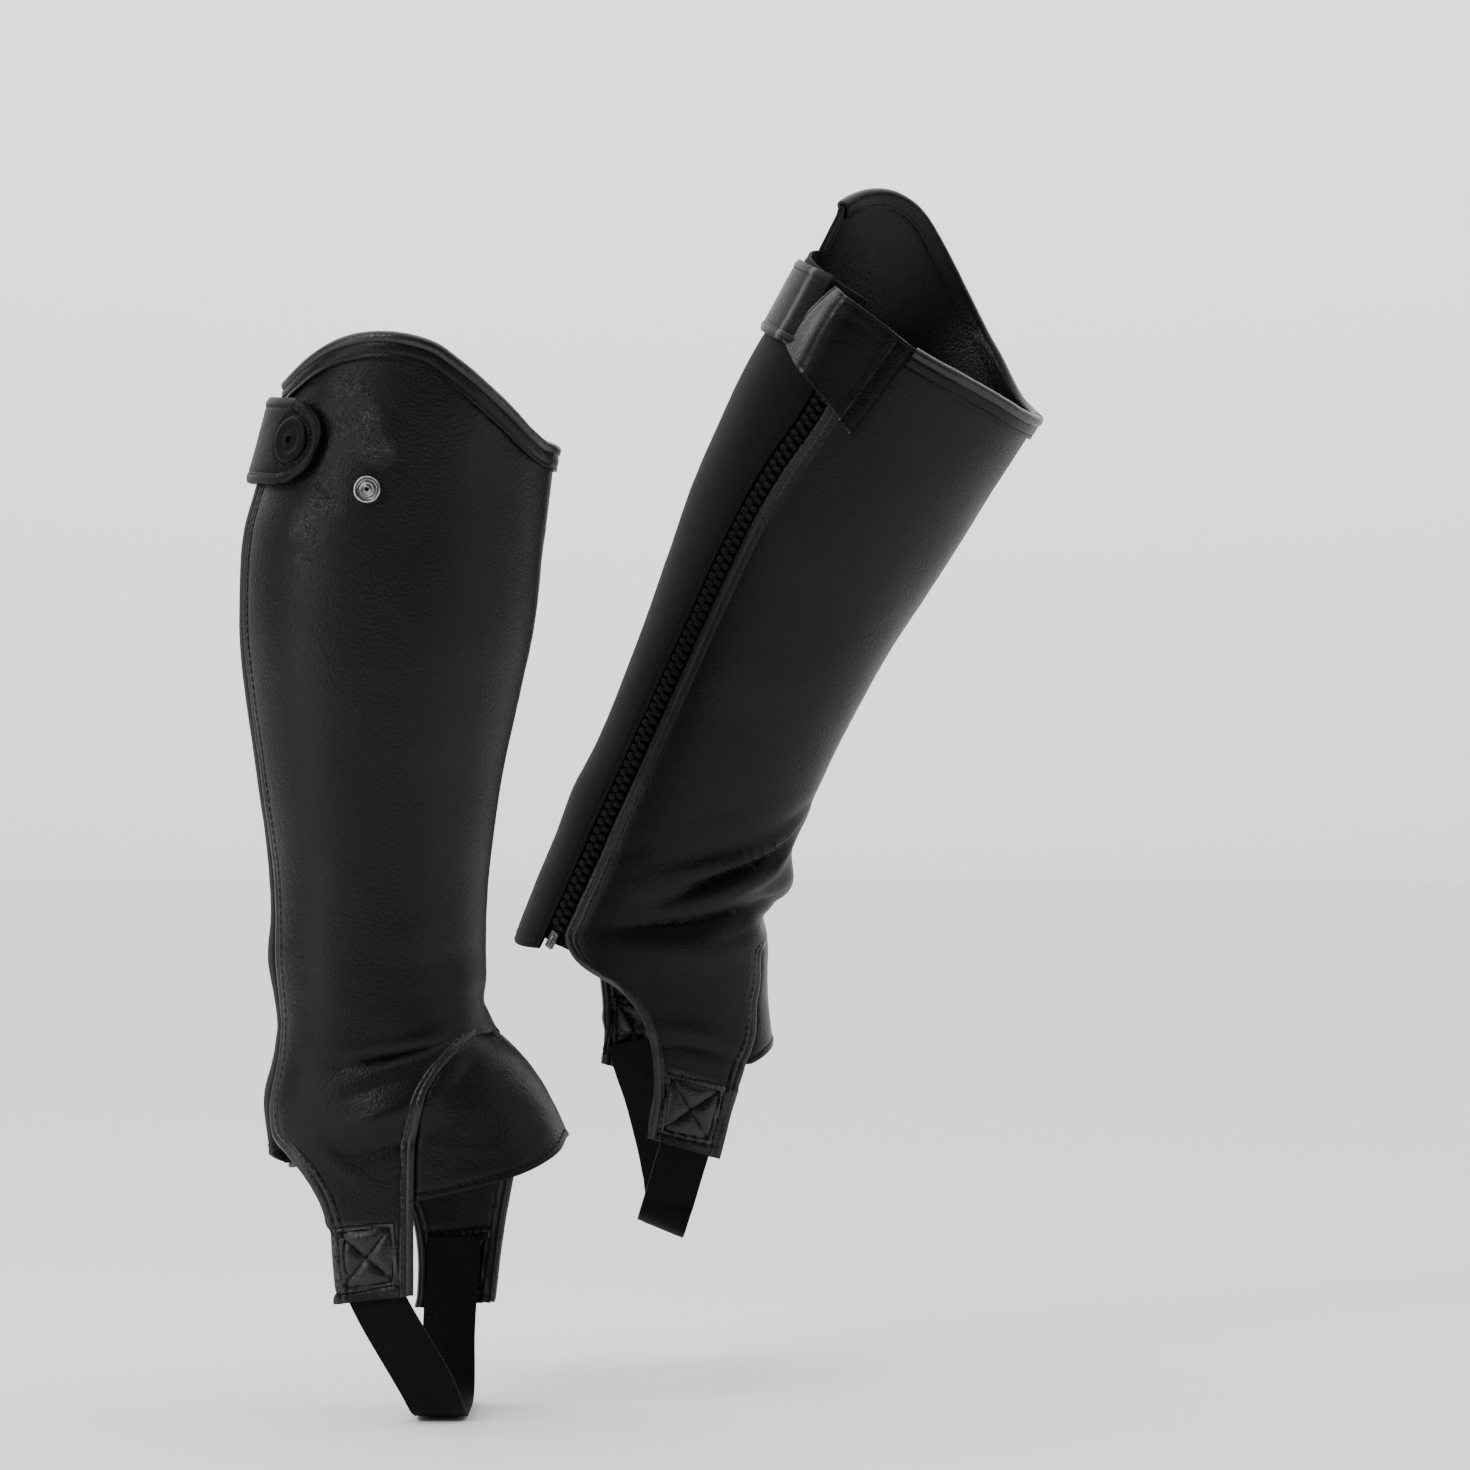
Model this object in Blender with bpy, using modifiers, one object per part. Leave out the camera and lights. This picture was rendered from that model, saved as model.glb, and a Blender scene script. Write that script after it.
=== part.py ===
"""A pair of black leather half chaps, in the hollow form they keep when worn.

Frame: metres, +Z up, +X the way the toes point, +Y from the right leg to the left leg. The origin is the
middle of the right chap's top opening. The right chap stands upright. The left one leans forward with the shin.

Each chap is laid out on the surface of a plain leg, in the chap's own frame and in millimetres:
    x       forward from the middle of the top opening
    height  up from the origin, 6 mm below the right chap's top edge at the shin
    turn    degrees round the leg from the shin: minus on the outer side, plus on the inner side, 180 at the back
"""
import math

import bmesh
import bpy
from mathutils import Matrix, Vector

MM = 0.001

# Cloth walls and the room left between pieces
LEATHER = 2.0
STRETCH = 1.6
TAPE = 1.0
SEAM_GAP = 0.35
LAY_GAP = 0.4

# The leg under each chap, from its outline: height, rear, front, half width, bluntness of the section
RIGHT_LEG = (
    (70, -42, 68, 56.0, 2.0),
    (30, -50, 63, 56.0, 2.0),
    (8, -55.5, 59.5, 56.0, 2.0),
    (-10, -60.5, 57, 56.0, 2.0),
    (-33, -66.5, 54.5, 56.0, 2.0),
    (-66, -68, 50.5, 55.5, 2.0),
    (-99, -65, 43.5, 53.0, 2.0),
    (-132, -60.5, 36.8, 49.0, 2.0),
    (-165, -56, 32.3, 45.0, 2.0),
    (-190, -54.3, 30.2, 42.5, 2.05),
    (-215, -53.5, 30.8, 41.5, 2.1),
    (-234, -53, 34.3, 41.0, 2.2),
    (-246, -53, 45.5, 41.0, 2.3),
    (-257, -53.5, 53.5, 41.0, 2.35),
    (-269, -54, 60.5, 41.0, 2.4),
    (-282, -55, 66.5, 41.0, 2.45),
    (-305, -56, 78, 41.0, 2.5),
    (-350, -57, 100, 40.5, 2.5),
)
LEFT_LEG = (
    (90, -54, 74, 56.0, 2.0),
    (30, -58.5, 63, 56.0, 2.0),
    (0, -61.5, 58.5, 56.0, 2.0),
    (-24, -65, 54.5, 56.0, 2.0),
    (-54, -67, 49.5, 55.5, 2.0),
    (-86, -67, 43.7, 54.0, 2.0),
    (-117, -65.5, 38, 50.5, 2.0),
    (-147, -63.7, 34.5, 47.0, 2.0),
    (-180, -62.8, 32, 44.0, 2.0),
    (-210, -63, 31, 42.0, 2.1),
    (-234, -63.5, 32, 41.0, 2.2),
    (-250, -64, 34.5, 41.0, 2.3),
    (-266, -64.5, 40.5, 41.0, 2.35),
    (-280, -64.5, 46.3, 41.0, 2.4),
    (-296, -64, 54.3, 41.0, 2.45),
    (-320, -62, 69, 41.0, 2.5),
    (-355, -58, 91, 40.5, 2.5),
)
EGG = 0.08                      # how much narrower a section is at the shin than at the back

# Top edge on each side: x, height
RIGHT_OUTER_TOP = (
    (-60, 22), (-49, 31), (-41, 39.3), (-32, 45.5), (-21, 48.7), (-11, 49.3), (-1, 48), (10, 44.6), (19, 38.8),
    (27, 33), (36, 25.7), (44, 19.1), (51, 12.5), (57, 7.9), (64, 6),
)
LEFT_OUTER_TOP = (
    (-72, 26), (-62, 37), (-58, 50), (-53, 60), (-45, 66), (-35, 67), (-24, 63), (-10, 53), (5, 41), (20, 29),
    (35, 18), (48, 8), (58, 3), (70, 1),
)
RIGHT_INNER_TOP = ((-75, 26), (-52, 24), (-36, 21), (-16, 14.5), (0, 10.5), (22, 9), (41, 8.8), (54, 7.6), (64, 6))
LEFT_INNER_TOP = ((-75, 26), (-52, 24), (-36, 21), (-16, 14.5), (0, 10.5), (22, 7.5), (41, 5), (54, 2.5), (70, 1))

# Largest folds: turn, height, reach round the leg in degrees, half breadth, depth, fall in mm for each degree
RIGHT_FOLDS = (
    (180, -205, 32, 13, 2.4, 0.0),
    (180, -232, 40, 9, -1.0, 0.0),
    (180, -264, 34, 15, 4.2, 0.0),
    (-92, -244, 24, 5.5, -2.4, 0.25),
    (-100, -263, 24, 9, 2.6, 0.1),
    (78, -240, 26, 6, -2.2, -0.2),
    (90, -258, 26, 9, 2.4, -0.15),
    (8, -222, 40, 7, -1.2, 0.0),
)
LEFT_FOLDS = (
    (50, -226.5, 36, 6, 3.2, -0.55),
    (58, -235, 30, 4.5, -3.6, -0.66),
    (38, -231.5, 24, 5, 3.2, -0.62),
    (62, -256.5, 46, 5, -3.2, -0.4),
    (66, -270, 24, 7, 1.6, -0.3),
    (0, -231.5, 26, 9, 6.4, 0.0),
    (0, -250, 26, 6, -3.4, 0.0),
    (-44, -224, 32, 6, 2.6, 0.5),
    (-56, -238, 28, 5, -2.6, 0.55),
    (-60, -252, 36, 6.5, 2.2, 0.4),
    (180, -230, 34, 16, 1.8, 0.0),
)

# Where the leather ends on each side: x, height. The tabs reach down to the sole strap.
REAR_SEAM_INSET = 3.5           # the outer rear seam, seen from the side, in front of the back of the leg
OUTER_REAR_EDGE = ((-46, -284), (-39.5, -292), (-33, -303), (-29.4, -315), (-27.5, -330), (-27, -345))
OUTER_FRONT_EDGE = (
    (28, -235.5), (17.5, -245), (9.8, -256), (6.1, -267), (3.7, -282), (2.9, -297), (2.1, -314), (1.1, -341),
)
INNER_REAR_EDGE = (
    (-40.5, -290.5), (-36, -293.3), (-28, -294.8), (-18, -296.3), (-9.5, -301), (-4.2, -307), (0.2, -317.5),
    (2.4, -333), (1.2, -354),
)
INNER_FRONT_EDGE = (
    (36, -243), (40.5, -258), (43, -270), (43.6, -284), (41, -300), (38.3, -315), (36, -331), (33.2, -351.5),
)
FRONT_EDGE_START = -235.0       # height at which both front edges meet at the shin, as stated above
SWING_LEVEL = -285.0            # the tabs hang forward of the leaning leg from here down
REAR_LEVEL = -205.0             # where the tabs' rows start at the rear edges
OUTER_SEAM_STATIONS = (-230.0, -255.0, -276.0)          # heights at which a tab's rear edge is still the seam
INNER_SEAM_STATIONS = (-230.0, -255.0, -275.0, -285.0)
TOP_STATION = 20.0              # height whose outline gives the top edge its x

# The zip on the inner side: height, x of the chain's middle
ZIP_LINE = ((34, -20), (0, -26.5), (-35, -31), (-60, -36.5), (-90, -40.3), (-153, -43), (-275, -47.2), (-300, -48.2))
ZIP_CHAIN_WIDTH = 6.4
ZIP_CHAIN_RISE = 2.4
ZIP_SLOT = 13.0                 # between the leather's edge and the stretch panel's edge
ZIP_TAPE_ENDS = (12.0, -291.5)  # heights
ZIP_CHAIN_ENDS = (-2.0, -286.0)
ZIP_SLIDER_HEIGHT = 4.0
ZIP_SLIDER_SIZE = (8.5, 11.0, 2.6)      # width, length along the zip, rise
ZIP_RETAINER_HEIGHT = -290.2
ZIP_RETAINER_SIZE = (7.5, 7.0, 2.6)
ZIP_METAL_LIFT = 0.2            # more than a lay gap, since the tape below is curved
METAL_EDGE = 0.6
# The stretch panel's top and bottom: outer, inner, outer, inner, and how much lower its bottom is at the back
RIGHT_STRETCH = (26.0, 21.0, -281.5, -292.0, 0.0)
LEFT_STRETCH = (32.0, 21.0, -292.0, -296.5, 6.5)

# Instep gusset, lower edge: part of the way from its outer end to its inner end, height
RIGHT_GUSSET_EDGE = ((0.0, -304), (0.15, -298), (0.3, -292), (0.45, -285), (0.6, -279), (0.8, -284), (1.0, -300))
LEFT_GUSSET_EDGE = ((0.0, -320), (0.15, -314), (0.3, -308), (0.45, -303), (0.6, -300), (0.8, -303), (1.0, -313))
GUSSET_SEAM_GAP = 0.6
GUSSET_WALL = 1.6
GUSSET_START = 0.04             # part of the way down at which its first row lies
RIGHT_GUSSET_TOP = -235.0
LEFT_GUSSET_TOP = -256.0

# Binding rolled over the top edge
BINDING_WALL = 1.4
BINDING_DROP = 9.0
BINDING_DROP_INSIDE = 6.0
BINDING_INNER_END = 0.0         # x on the inner side where it stops, at the flap

# Flap sewn over the zip's top, corners x, height: top front, top rear, bottom rear, bottom front
FLAP_CORNERS = ((-1.0, 9.5), (-37.0, 20.5), (-52.0, -9.5), (-12.5, -36.0))
FLAP_WALL = 1.8
FLAP_PUFF = 5.3                 # how far it stands off behind
FLAP_SEWN = 0.12                # part of its breadth that is sewn flat
FLAP_RISE = 0.4                 # part of its breadth over which it then lifts

# Closing strap round the back, from under the flap to its round end on the outer side
STRAP_WIDTH = 33.0
STRAP_WALL = 2.4
STRAP_START = (-43.0, 7.0)
STRAP_BACK_HEIGHT = 6.5
STRAP_END = (-42.5, 4.5)        # centre of the round end
STRAP_STANDOFF = 0.5
STRAP_BACK = (153.0, 186.0)     # turns between which it lies down on the stretch panel
STRAP_RISE_DEG = 9.0            # over which it rises on either side of these
STRAP_ROUND_DEG = 82.0          # of each quarter of the round end, before its short straight tip

SNAP_CAP_RADIUS = 9.0
SNAP_CAP_HEIGHT = 1.6
SNAP_CAP_GROOVE = 0.5
SNAP_SPOT = (-40.2, 4.8)
STUD_RADIUS = 5.6
STUD_HEIGHT = 2.2
STUD_GROOVE = 0.6
STUD_SPOT = (-13.0, -14.7)

# Elastic strap under the sole, from one tab to the other: across the foot, height, x. Above its corners it
# hugs the foot, and the distance across comes from there.
SOLE_STRAP_WIDTH = 22.0
SOLE_STRAP_WALL = 1.6
SOLE_STRAP_CORNER = -380.0
SOLE_STRAP_HUG_END = -350.0
SOLE_STRAP_SOLE = -390.5
SOLE_STRAP_MIDDLE = (13.0, -350.0)      # x, height of a point inside the loop
SOLE_STRAP_SLANT = -31.0        # of the outer stretch, in degrees
SOLE_STRAP_SLANT_FADE = 24.5    # height above the sole over which the slant comes in
SOLE_STRAP_ROUTE = (
    (-40.0, -330, -15.5), (-40.0, -338, -12.5), (-40.0, -350, -6.5), (-40.0, -365, 2.3), (-40.0, -377, 9.3),
    (-37.0, -386, 13.8), (-30.0, -389.8, 15.0), (-15.0, -390.5, 15.0), (0.0, -390.5, 15.0), (15.0, -390.5, 15.0),
    (30.0, -389.8, 15.0), (37.0, -386, 15.0), (40.0, -377, 15.0), (40.0, -365, 15.0), (40.0, -350, 15.8),
    (40.0, -337, 17.0), (40.0, -324, 17.0),
)
# How far forward each chap's strap hangs: height, mm
RIGHT_STRAP_HANG = ((-320, 0), (-400, 0))
LEFT_STRAP_HANG = ((-320, 12.5), (-337, 18.5), (-352, 23.8), (-372, 26.5), (-395, 28.8))

# How fine the surfaces are divided
OUTER_COLUMNS = 18
INNER_COLUMNS = 14
UPPER_ROWS = 18
TAB_ROWS = 11
ROW_CROWDING = 1.35             # rows crowd towards the ankle, where the folds are
TURNED_SEGMENTS = 18
SMALL_STEP_DEG = 0.5
SMALL_STEP_MM = 0.5
MM_PER_DEGREE = 0.8             # about, round the ankle

# Each leg's stance
LEFT_LEAN_DEG = 22.5
LEFT_ROLL_DEG = 6.0
LEFT_PLACE = (0.2121, 0.152, 0.0481)
LEFT_TAB_SWING = 0.32           # mm forward for each mm below SWING_LEVEL


class Chap:
    """One chap: which leg, and the tables that give its form."""

    def __init__(self, name, inner_y, leg, folds, tops, stretch, gusset_edge, gusset_top, swing, strap_hang):
        self.name = name
        self.inner_y = inner_y              # +1 where the inner side faces +Y
        self.leg = leg
        self.folds = folds
        self.outer_top, self.inner_top = tops
        self.stretch = stretch
        self.gusset_edge = gusset_edge
        self.gusset_top = gusset_top        # height of the leather's lower edge at the shin
        self.swing = swing
        self.strap_hang = strap_hang
        self.stance = None

    def section(self, height):
        """Middle x, half length, half width and bluntness of the leg at a height."""
        rear, front, half_width, bluntness = (read(self.leg, height, column) for column in (1, 2, 3, 4))
        return (front + rear) / 2, (front - rear) / 2, half_width, bluntness

    def fold(self, turn, height):
        """How far the folds lift or sink the wall."""
        lift = 0.0
        for centre, level, reach, breadth, depth, fall in self.folds:
            away = (turn - centre + 180) % 360 - 180
            across = (height - level - fall * away) / breadth
            lift += depth * math.exp(-(across ** 2) - (away / reach) ** 2)
        return lift

    def point(self, turn, height, off=0.0):
        """The point off the leg's surface by the given distance."""
        bare = self.bare_point(turn, height)
        return bare + self.normal(turn, height) * off if off else bare

    def bare_point(self, turn, height):
        middle, half_length, half_width, bluntness = self.section(height)
        cosine = math.cos(math.radians(turn))
        side = math.copysign(1, math.sin(math.radians(turn))) * self.inner_y
        round_off = max(0.0, 1 - abs(cosine) ** bluntness) ** (1 / bluntness)
        lift = self.fold(turn, height)
        x = middle + (half_length + lift) * cosine
        y = side * (half_width + lift) * round_off * (1 - EGG * cosine)
        return Vector((x, y, height))

    def normal(self, turn, height):
        around = self.bare_point(turn + SMALL_STEP_DEG, height) - self.bare_point(turn - SMALL_STEP_DEG, height)
        up = self.bare_point(turn, height + SMALL_STEP_MM) - self.bare_point(turn, height - SMALL_STEP_MM)
        outward = around.cross(up).normalized()
        middle = Vector((self.section(height)[0], 0, height))
        if outward.dot(self.bare_point(turn, height) - middle) < 0:
            outward.negate()
        return outward

    def turn_at(self, x, height, side):
        """The turn at which the surface has this x, on the inner (+1) or outer (-1) side."""
        middle, half_length, _, _ = self.section(height)
        cosine = min(1.0, max(-1.0, (x - middle) / half_length))
        return side * math.degrees(math.acos(cosine))

    def x_at(self, turn, height):
        middle, half_length, _, _ = self.section(height)
        return middle + half_length * math.cos(math.radians(turn))

    def swung(self, x, height):
        """x of a tab's point, moved forward as far as this leg's tabs hang forward."""
        return x + self.swing * max(0.0, SWING_LEVEL - height)

    def step_round(self, turn, height, distance):
        """The turn that lies this many mm further round towards larger turns."""
        a = self.bare_point(turn - SMALL_STEP_DEG, height)
        b = self.bare_point(turn + SMALL_STEP_DEG, height)
        return turn + distance * 2 * SMALL_STEP_DEG / (b - a).length

    def top(self, turn):
        """Height of the top edge."""
        inner = math.sin(math.radians(turn)) > 0
        x = self.x_at(turn, TOP_STATION)
        return read(self.inner_top if inner else self.outer_top, x, 1)

    def outer_edge(self, height):
        """Turn of the leather's rear edge on the outer side, at the seam to the stretch panel."""
        rear = read(self.leg, height, 1)
        return self.turn_at(rear + REAR_SEAM_INSET, height, -1)

    def zip_turn(self, height, across=0.0):
        """Turn of the zip's middle, or of a line this many mm in front of it."""
        turn = self.turn_at(read(ZIP_LINE, height, 1), height, 1)
        return self.step_round(turn, height, -across) if across else turn


def read(rows, at, column):
    """Reads a table smoothly between its rows, whose first column grows or falls."""
    rows = sorted(rows)
    if at <= rows[0][0]:
        return rows[0][column]
    if at >= rows[-1][0]:
        return rows[-1][column]
    low = max(i for i in range(len(rows) - 1) if rows[i][0] <= at)

    def slope(i):
        a, b = rows[max(i - 1, 0)], rows[min(i + 1, len(rows) - 1)]
        return (b[column] - a[column]) / (b[0] - a[0])

    a, b = rows[low], rows[low + 1]
    span = b[0] - a[0]
    t = (at - a[0]) / span
    return ((2 * t ** 3 - 3 * t ** 2 + 1) * a[column] + (t ** 3 - 2 * t ** 2 + t) * span * slope(low)
            + (3 * t ** 2 - 2 * t ** 3) * b[column] + (t ** 3 - t ** 2) * span * slope(low + 1))


def mix(a, b, t):
    return a + (b - a) * t


def evenly_along(points, count):
    """count + 1 points at even steps along a smooth line through (turn, height) points."""
    table, length = [], 0.0
    for i, (turn, height) in enumerate(points):
        if i:
            length += math.hypot((turn - points[i - 1][0]) * MM_PER_DEGREE, height - points[i - 1][1])
        table.append((length, turn, height))
    steps = [length * k / count for k in range(count + 1)]
    return [(read(table, at, 1), read(table, at, 2)) for at in steps]


# ---------------------------------------------------------------- objects

def clear_scene():
    for thing in list(bpy.data.objects):
        bpy.data.objects.remove(thing, do_unlink=True)


def material(name, colour, roughness, metallic=0.0):
    made = bpy.data.materials.new(name)
    made.use_nodes = True
    shader = made.node_tree.nodes["Principled BSDF"]
    shader.inputs["Base Color"].default_value = (*colour, 1)
    shader.inputs["Roughness"].default_value = roughness
    shader.inputs["Metallic"].default_value = metallic
    made.diffuse_color = (*colour, 1)
    return made


def add_object(chap, name, mesh, finish, collection):
    made = bpy.data.objects.new(f"{chap.name}_{name}", mesh)
    mesh.materials.append(finish)
    collection.objects.link(made)
    made.parent = chap.stance
    return made


def sheet_mesh(name, patches, outward):
    """A mesh from patches of rows of points. Points that fall together are made one, faces look outward."""
    build = bmesh.new()
    for rows in patches:
        grid = [[build.verts.new(p * MM) for p in row] for row in rows]
        for upper, lower in zip(grid, grid[1:]):
            for i in range(len(upper) - 1):
                build.faces.new((upper[i], lower[i], lower[i + 1], upper[i + 1]))
    bmesh.ops.remove_doubles(build, verts=build.verts, dist=0.00002)
    build.normal_update()
    facing = sum(face.normal.dot(outward(face.calc_center_median() / MM)) * face.calc_area() for face in build.faces)
    if facing < 0:
        bmesh.ops.reverse_faces(build, faces=build.faces)
    mesh = bpy.data.meshes.new(name)
    build.to_mesh(mesh)
    build.free()
    mesh.shade_smooth()
    return mesh


def away_from_leg(chap):
    return lambda p: p - Vector((chap.section(p.z)[0], 0, p.z))


def add_wall(chap, name, patches, thickness, finish, collection, outward=None):
    """A cloth piece: an open sheet, thickened outwards."""
    mesh = sheet_mesh(name, patches, outward or away_from_leg(chap))
    made = add_object(chap, name, mesh, finish, collection)
    wall = made.modifiers.new("wall", "SOLIDIFY")
    wall.thickness = thickness * MM
    wall.offset = 1.0
    wall.use_even_offset = False
    return made


def lay(chap, rows, off=0.0):
    """Points of rows of (turn, height), or (turn, height, off), on the chap."""
    return [[chap.point(spot[0], spot[1], spot[2] if len(spot) > 2 else off) for spot in row] for row in rows]


def loft_mesh(name, rings):
    """A closed body through rings of points, capped at both ends."""
    build = bmesh.new()
    loops = [[build.verts.new(p * MM) for p in ring] for ring in rings]
    count = len(loops[0])
    for a, b in zip(loops, loops[1:]):
        for i in range(count):
            k = (i + 1) % count
            build.faces.new((a[i], a[k], b[k], b[i]))
    build.faces.new(loops[0])
    build.faces.new(loops[-1])
    bmesh.ops.recalc_face_normals(build, faces=build.faces)
    mesh = bpy.data.meshes.new(name)
    build.to_mesh(mesh)
    build.free()
    return mesh


# ---------------------------------------------------------------- leather panel

def first_row_level(chap, turn):
    """Height of the row where the panel parts into its two tabs: lowest at the shin."""
    return REAR_LEVEL + (chap.gusset_top - REAR_LEVEL) * math.cos(math.radians(turn / 2)) ** 4


def panel_top(chap, turn):
    return chap.top(turn) - BINDING_WALL - SEAM_GAP


def inner_edge(chap, height):
    """Turn of the leather's rear edge on the inner side, beside the zip."""
    return chap.zip_turn(height, ZIP_SLOT / 2)


def upper_spot(chap, column, part):
    """(turn, height) of a point of the upper panel: column round the leg, part of the way down."""
    turn = 0.0
    height = 0.0
    for _ in range(3):
        if column <= OUTER_COLUMNS:
            turn = mix(chap.outer_edge(height), 0.0, column / OUTER_COLUMNS)
        else:
            turn = mix(0.0, inner_edge(chap, height), (column - OUTER_COLUMNS) / INNER_COLUMNS)
        height = mix(panel_top(chap, turn), first_row_level(chap, turn), part)
    return turn, height


def tab_edges(chap, side, start_rear, start_front):
    """The rear and front edges of a tab as lines of (turn, height), from its first row down."""
    if side < 0:
        rear, front = OUTER_REAR_EDGE, OUTER_FRONT_EDGE
        seam = [(chap.outer_edge(h), h) for h in OUTER_SEAM_STATIONS]
    else:
        rear, front = INNER_REAR_EDGE, INNER_FRONT_EDGE
        seam = [(inner_edge(chap, h), h) for h in INNER_SEAM_STATIONS]
    drop = FRONT_EDGE_START - chap.gusset_top
    foot = front[-1][1]
    rear_line = [start_rear, *seam]
    rear_line += [(chap.turn_at(chap.swung(x, h), h, side), h) for x, h in rear]
    front_line = [start_front]
    for x, h in front:
        lowered = h - drop * (h - foot) / (FRONT_EDGE_START - foot)
        front_line.append((chap.turn_at(chap.swung(x, lowered), lowered, side), lowered))
    return rear_line, front_line


def tab_rows(chap, side, first_row):
    """Rows of a tab, each from its rear edge to its front edge, starting with the row above it."""
    rear_line, front_line = tab_edges(chap, side, first_row[0], first_row[-1])
    rear = evenly_along(rear_line, TAB_ROWS)
    front = evenly_along(front_line, TAB_ROWS)
    last = len(first_row) - 1
    rows = [first_row]
    for (turn_a, height_a), (turn_b, height_b) in zip(rear[1:], front[1:]):
        rows.append([(mix(turn_a, turn_b, i / last), mix(height_a, height_b, i / last)) for i in range(last + 1)])
    return rows


def panel_rows(chap):
    """The panel's three patches: the calf, the outer tab and the inner tab, as rows of (turn, height)."""
    parts = [1 - (1 - j / UPPER_ROWS) ** ROW_CROWDING for j in range(UPPER_ROWS + 1)]
    columns = OUTER_COLUMNS + INNER_COLUMNS + 1
    calf = [[upper_spot(chap, i, part) for i in range(columns)] for part in parts]
    outer = tab_rows(chap, -1, calf[-1][:OUTER_COLUMNS + 1])
    inner = tab_rows(chap, 1, calf[-1][OUTER_COLUMNS:][::-1])
    return calf, outer, [row[::-1] for row in inner]


def turn_on(line, height):
    """Turn at a height on a line of (turn, height) that falls."""
    for (turn_a, height_a), (turn_b, height_b) in zip(line, line[1:]):
        if height_b <= height <= height_a:
            return mix(turn_a, turn_b, (height_a - height) / (height_a - height_b))
    return line[0][0] if height > line[0][1] else line[-1][0]


def add_leather_panel(chap, rows, finish, collection):
    patches = [lay(chap, patch) for patch in rows]
    return add_wall(chap, "leather_panel", patches, LEATHER, finish, collection)


# ---------------------------------------------------------------- other cloth pieces

def add_stretch_panel(chap, leather_rows, finish, collection):
    """The elastic piece round the back, between the leather's outer rear seam and the zip."""
    columns = 7
    top_outer, top_inner, bottom_outer, bottom_inner, bow = chap.stretch
    calf, outer, _ = leather_rows
    seam = [row[0] for row in calf + outer[1:]]
    levels = [height for _, height in seam if bottom_outer + 3 < height < top_outer - 3]
    rows = []
    for level in (top_outer, *levels, bottom_outer):
        part_down = (top_outer - level) / (top_outer - bottom_outer)
        inner_level = mix(top_inner, bottom_inner, part_down)
        seam_turn = min(turn_on(seam, level), chap.outer_edge(level))
        row = []
        for i in range(columns + 1):
            height = mix(level, inner_level, i / columns) - bow * part_down * math.sin(math.pi * i / columns)
            a = chap.step_round(seam_turn, height, -SEAM_GAP)
            b = chap.zip_turn(height, -ZIP_SLOT / 2) - 360
            row.append((mix(a, b, i / columns), height))
        rows.append(row)
    return add_wall(chap, "stretch_panel", [lay(chap, rows)], STRETCH, finish, collection)


def add_gusset(chap, leather_rows, finish, collection):
    """The instep piece between the tabs, from the leather's edge at the shin down to its own lower edge."""
    columns, rows_down = 14, 6
    _, outer, inner = leather_rows
    outer_seam = [row[-1] for row in outer]
    inner_seam = [row[0] for row in inner]
    rows = []
    for j in range(rows_down + 1):
        part = GUSSET_START + (1 - GUSSET_START) * j / rows_down
        row = []
        for i in range(columns + 1):
            height = mix(chap.gusset_top - GUSSET_SEAM_GAP, read(chap.gusset_edge, i / columns, 1), part)
            seam_height = height + GUSSET_SEAM_GAP
            a = chap.step_round(turn_on(outer_seam, seam_height), height, GUSSET_SEAM_GAP)
            b = chap.step_round(turn_on(inner_seam, seam_height), height, -GUSSET_SEAM_GAP)
            row.append((mix(a, b, i / columns), height))
        rows.append(row)
    return add_wall(chap, "instep_gusset", [lay(chap, rows)], GUSSET_WALL, finish, collection)


def add_binding(chap, finish, collection):
    """Leather rolled over the top edge: outside, over the top and down the inside."""
    last = OUTER_COLUMNS
    while chap.x_at(upper_spot(chap, last + 1, 0)[0], TOP_STATION) > BINDING_INNER_END:
        last += 1
    spots = [upper_spot(chap, i, 0) for i in range(last + 1)]
    inside, outside = -LAY_GAP, LEATHER + LAY_GAP
    over = SEAM_GAP
    profile = (
        (outside, BINDING_DROP), (outside + BINDING_WALL, BINDING_DROP), (outside + BINDING_WALL, 0.6),
        (LEATHER * 0.75, -over - BINDING_WALL), (LEATHER * 0.25, -over - BINDING_WALL),
        (inside - BINDING_WALL, 0.6), (inside - BINDING_WALL, BINDING_DROP_INSIDE), (inside, BINDING_DROP_INSIDE),
        (inside, -over), (outside, -over),
    )
    rings = []
    for i, (turn, height) in enumerate(spots):
        a, b = spots[max(i - 1, 0)], spots[min(i + 1, last)]
        along = chap.point(*b) - chap.point(*a)
        normal = chap.normal(turn, height)
        down = along.cross(normal).normalized()
        if down.z > 0:
            down.negate()
        edge = chap.point(turn, height)
        rings.append([edge + normal * off + down * drop for off, drop in profile])
    return add_object(chap, "top_binding", loft_mesh("top_binding", rings), finish, collection)


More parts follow.
